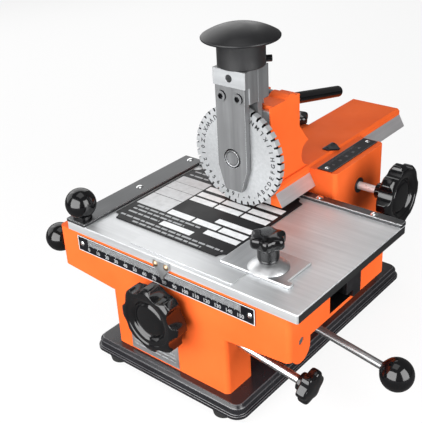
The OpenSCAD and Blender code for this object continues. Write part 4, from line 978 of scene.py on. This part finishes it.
def print_data_plate():
    """Lines of short bars on the pale plate."""
    low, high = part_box("data_plate")
    size = (high - low) / MM
    bm = bmesh.new()
    for row in range(int((size.z - DATA_MARGIN) // DATA_ROW)):
        down = DATA_MARGIN + row * DATA_ROW
        for offset, bar in bars(row, size.x - 2 * DATA_MARGIN):
            corner = Vector((low.x + (DATA_MARGIN + offset) * MM, low.y, high.z - down * MM))
            add_slab(bm, corner, X_AXIS * bar * MM, Z_AXIS * DATA_ROW_H * MM, -Y_AXIS, INK * MM)
    print_piece("data_plate_print", bm, "grey_ink")


CHARACTERS = "ABCDEFGHIJKLMNOPQRSTUVWXYZ0123456789/-+."
FIRST_LETTER = -54
LETTER_SIZE = 5
# How far the letters stand in from the wheel's rim, and their face behind the wheel's foremost plane
LETTER_IN, FACE_IN = 6.4, 0.2


def letter_type_wheel():
    """Ring of characters on the wheel's face, one below each type block."""
    low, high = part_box("type_wheel")
    middle = (low + high) / 2
    radius = (high.x - low.x) / 2 - LETTER_IN * MM
    face = low.y + FACE_IN * MM
    bm = bmesh.new()
    for k, character in enumerate(CHARACTERS):
        angle = math.radians(FIRST_LETTER + 360 * k / len(CHARACTERS))
        out = Vector((math.cos(angle), 0, math.sin(angle)))
        right = Vector((-math.sin(angle), 0, math.cos(angle)))
        place = Vector((middle.x, face, middle.z)) + out * radius
        add_letter(bm, character, LETTER_SIZE, place, right, -out, INK)
    print_piece("type_wheel_letters", bm, "dark_ink", "wheel")


# Form on the blank, in millimetres from its front left corner
LEFT_FIELDS = ((27.7, 48.0), (48.7, 62.0), (62.6, 74.1), (74.6, 85.6))
LEFT_X, LEFT_W = 2.2, 31.4
GRID_X, GRID_STEP, GRID_W, GRID_H = 35.3, 26.2, 24.3, 6.9
GRID_ROWS = (27.7, 55.1, 64.6, 75.6)
GRID_COLUMNS = 3
LONE_FIELDS = ((76.5, 37.4, 34.3), (80.0, 19.1, 31.8), (42.5, 10.6, 31.4))
LONE_H = 6.2
RULES = ((7, 23.2, 66), (7, 18.4, 54), (7, 13.0, 33), (5, 6.2, 104), (22, 1.8, 70), (5, 97, 20), (5, 90, 22))
RULE_H = 1.9


def print_nameplate():
    """Generic form on the blank: pale fields and lines of short bars."""
    low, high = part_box("nameplate")
    corner = Vector((low.x, low.y, high.z))
    left, right, rules = bmesh.new(), bmesh.new(), bmesh.new()

    def field(bm, x, y, w, d):
        place = corner + Vector((x, y, 0)) * MM
        add_slab(bm, place, X_AXIS * w * MM, Y_AXIS * d * MM, Z_AXIS, INK * MM)

    for front, back in LEFT_FIELDS:
        field(left, LEFT_X, front, LEFT_W, back - front)
    for y in GRID_ROWS:
        for column in range(GRID_COLUMNS):
            field(right, GRID_X + column * GRID_STEP, y, GRID_W, GRID_H)
    for x, y, w in LONE_FIELDS:
        field(right, x, y, w, LONE_H)
    for row, (x, y, w) in enumerate(RULES):
        for offset, bar in bars(row, w):
            field(rules, x + offset, y, bar, RULE_H)
    print_piece("nameplate_column", left, "silver_ink", "table")
    print_piece("nameplate_fields", right, "white_ink", "table")
    print_piece("nameplate_rules", rules, "grey_ink", "table")


# Stage

FLOOR_HALF = 3.0
FLOOR_GREY, FLOOR_WHITE = (0.12, 0.12, 0.12), (0.92, 0.92, 0.92)
FLOOR_GLOW = 0.87
FLOOR_ROUGHNESS, FLOOR_GLOSS = 0.9, 0.1
BACKDROP, MIRRORED, SURROUND = 1.0, 0.15, 0.09


def make_world():
    """White backdrop to the eye, a grey one in reflections, in a dim room."""
    world = bpy.data.worlds.new("studio")
    bpy.context.scene.world = world
    world.use_nodes = True
    nodes, links = world.node_tree.nodes, world.node_tree.links
    path = nodes.new("ShaderNodeLightPath")
    mirrored = nodes.new("ShaderNodeMapRange")
    mirrored.inputs["To Min"].default_value = SURROUND
    mirrored.inputs["To Max"].default_value = MIRRORED
    links.new(path.outputs["Is Glossy Ray"], mirrored.inputs["Value"])
    strength = nodes.new("ShaderNodeMapRange")
    strength.inputs["To Max"].default_value = BACKDROP
    links.new(mirrored.outputs["Result"], strength.inputs["To Min"])
    links.new(path.outputs["Is Camera Ray"], strength.inputs["Value"])
    links.new(strength.outputs["Result"], nodes["Background"].inputs["Strength"])
    nodes["Background"].inputs["Color"].default_value = (1, 1, 1, 1)


def make_floor():
    """White to the eye, with a soft shadow, and grey in what it throws back on the machine."""
    bm = bmesh.new()
    bmesh.ops.create_grid(bm, x_segments=1, y_segments=1, size=FLOOR_HALF)
    mesh = bpy.data.meshes.new("floor")
    bm.to_mesh(mesh)
    bm.free()
    tree = Tree("floor_white")
    eye = tree.nodes.new("ShaderNodeLightPath").outputs["Is Camera Ray"]
    tree.link(tree.mix(eye, FLOOR_GREY, FLOOR_WHITE), tree.shader.inputs["Base Color"])
    tree.set(roughness=FLOOR_ROUGHNESS, specular_ior_level=FLOOR_GLOSS)
    glow = tree.nodes.new("ShaderNodeEmission")
    share = tree.nodes.new("ShaderNodeMath")
    share.operation = "MULTIPLY"
    share.inputs[1].default_value = FLOOR_GLOW
    tree.link(eye, share.inputs[0])
    mix = tree.nodes.new("ShaderNodeMixShader")
    tree.link(share.outputs["Value"], mix.inputs["Fac"])
    tree.link(tree.shader.outputs["BSDF"], mix.inputs[1])
    tree.link(glow.outputs["Emission"], mix.inputs[2])
    tree.link(mix.outputs["Shader"], tree.nodes["Material Output"].inputs["Surface"])
    mesh.materials.append(tree.material)
    floor = bpy.data.objects.new("floor", mesh)
    bpy.context.scene.collection.objects.link(floor)


# Each softbox by its azimuth and elevation in degrees, its distance, width and height in millimetres,
# and its radiance
SOFTBOXES = {
    "front": (0, 14, 650, 780, 760, 6.0),
    "right": (86, 17, 650, 420, 640, 5.8),
    "top": (0, 86, 900, 600, 600, 1.1),
    "rear_card": (238, 30, 1200, 1300, 1000, 1.45),
    "left_card": (285, 20, 1100, 800, 800, 1.2),
}
AIM = (0, 10, 90)


def make_lamps():
    for name, (azimuth, elevation, distance, width, height, radiance) in SOFTBOXES.items():
        data = bpy.data.lights.new(name, "AREA")
        data.shape = "RECTANGLE"
        data.size, data.size_y = width * MM, height * MM
        data.energy = radiance * math.pi * data.size * data.size_y
        lamp = bpy.data.objects.new(name, data)
        towards = direction(math.radians(azimuth), math.radians(elevation))
        lamp.matrix_world = axis_frame(at(*AIM) + towards * distance * MM, towards)
        lamp.visible_camera = False
        bpy.context.scene.collection.objects.link(lamp)


make_camera()
make_world()
make_floor()
make_lamps()
dress_castings()
dress_table()
dress_head()
dress_drive()
dress_knobs()
dress_balls()
dress_press_knob()
paint("scale", "front_scale", "column_scale")
paint("pale", "data_plate")
print_front_scale()
print_column_scale()
print_data_plate()
letter_type_wheel()
print_nameplate()

bpy.context.scene.view_settings.view_transform = "Standard"
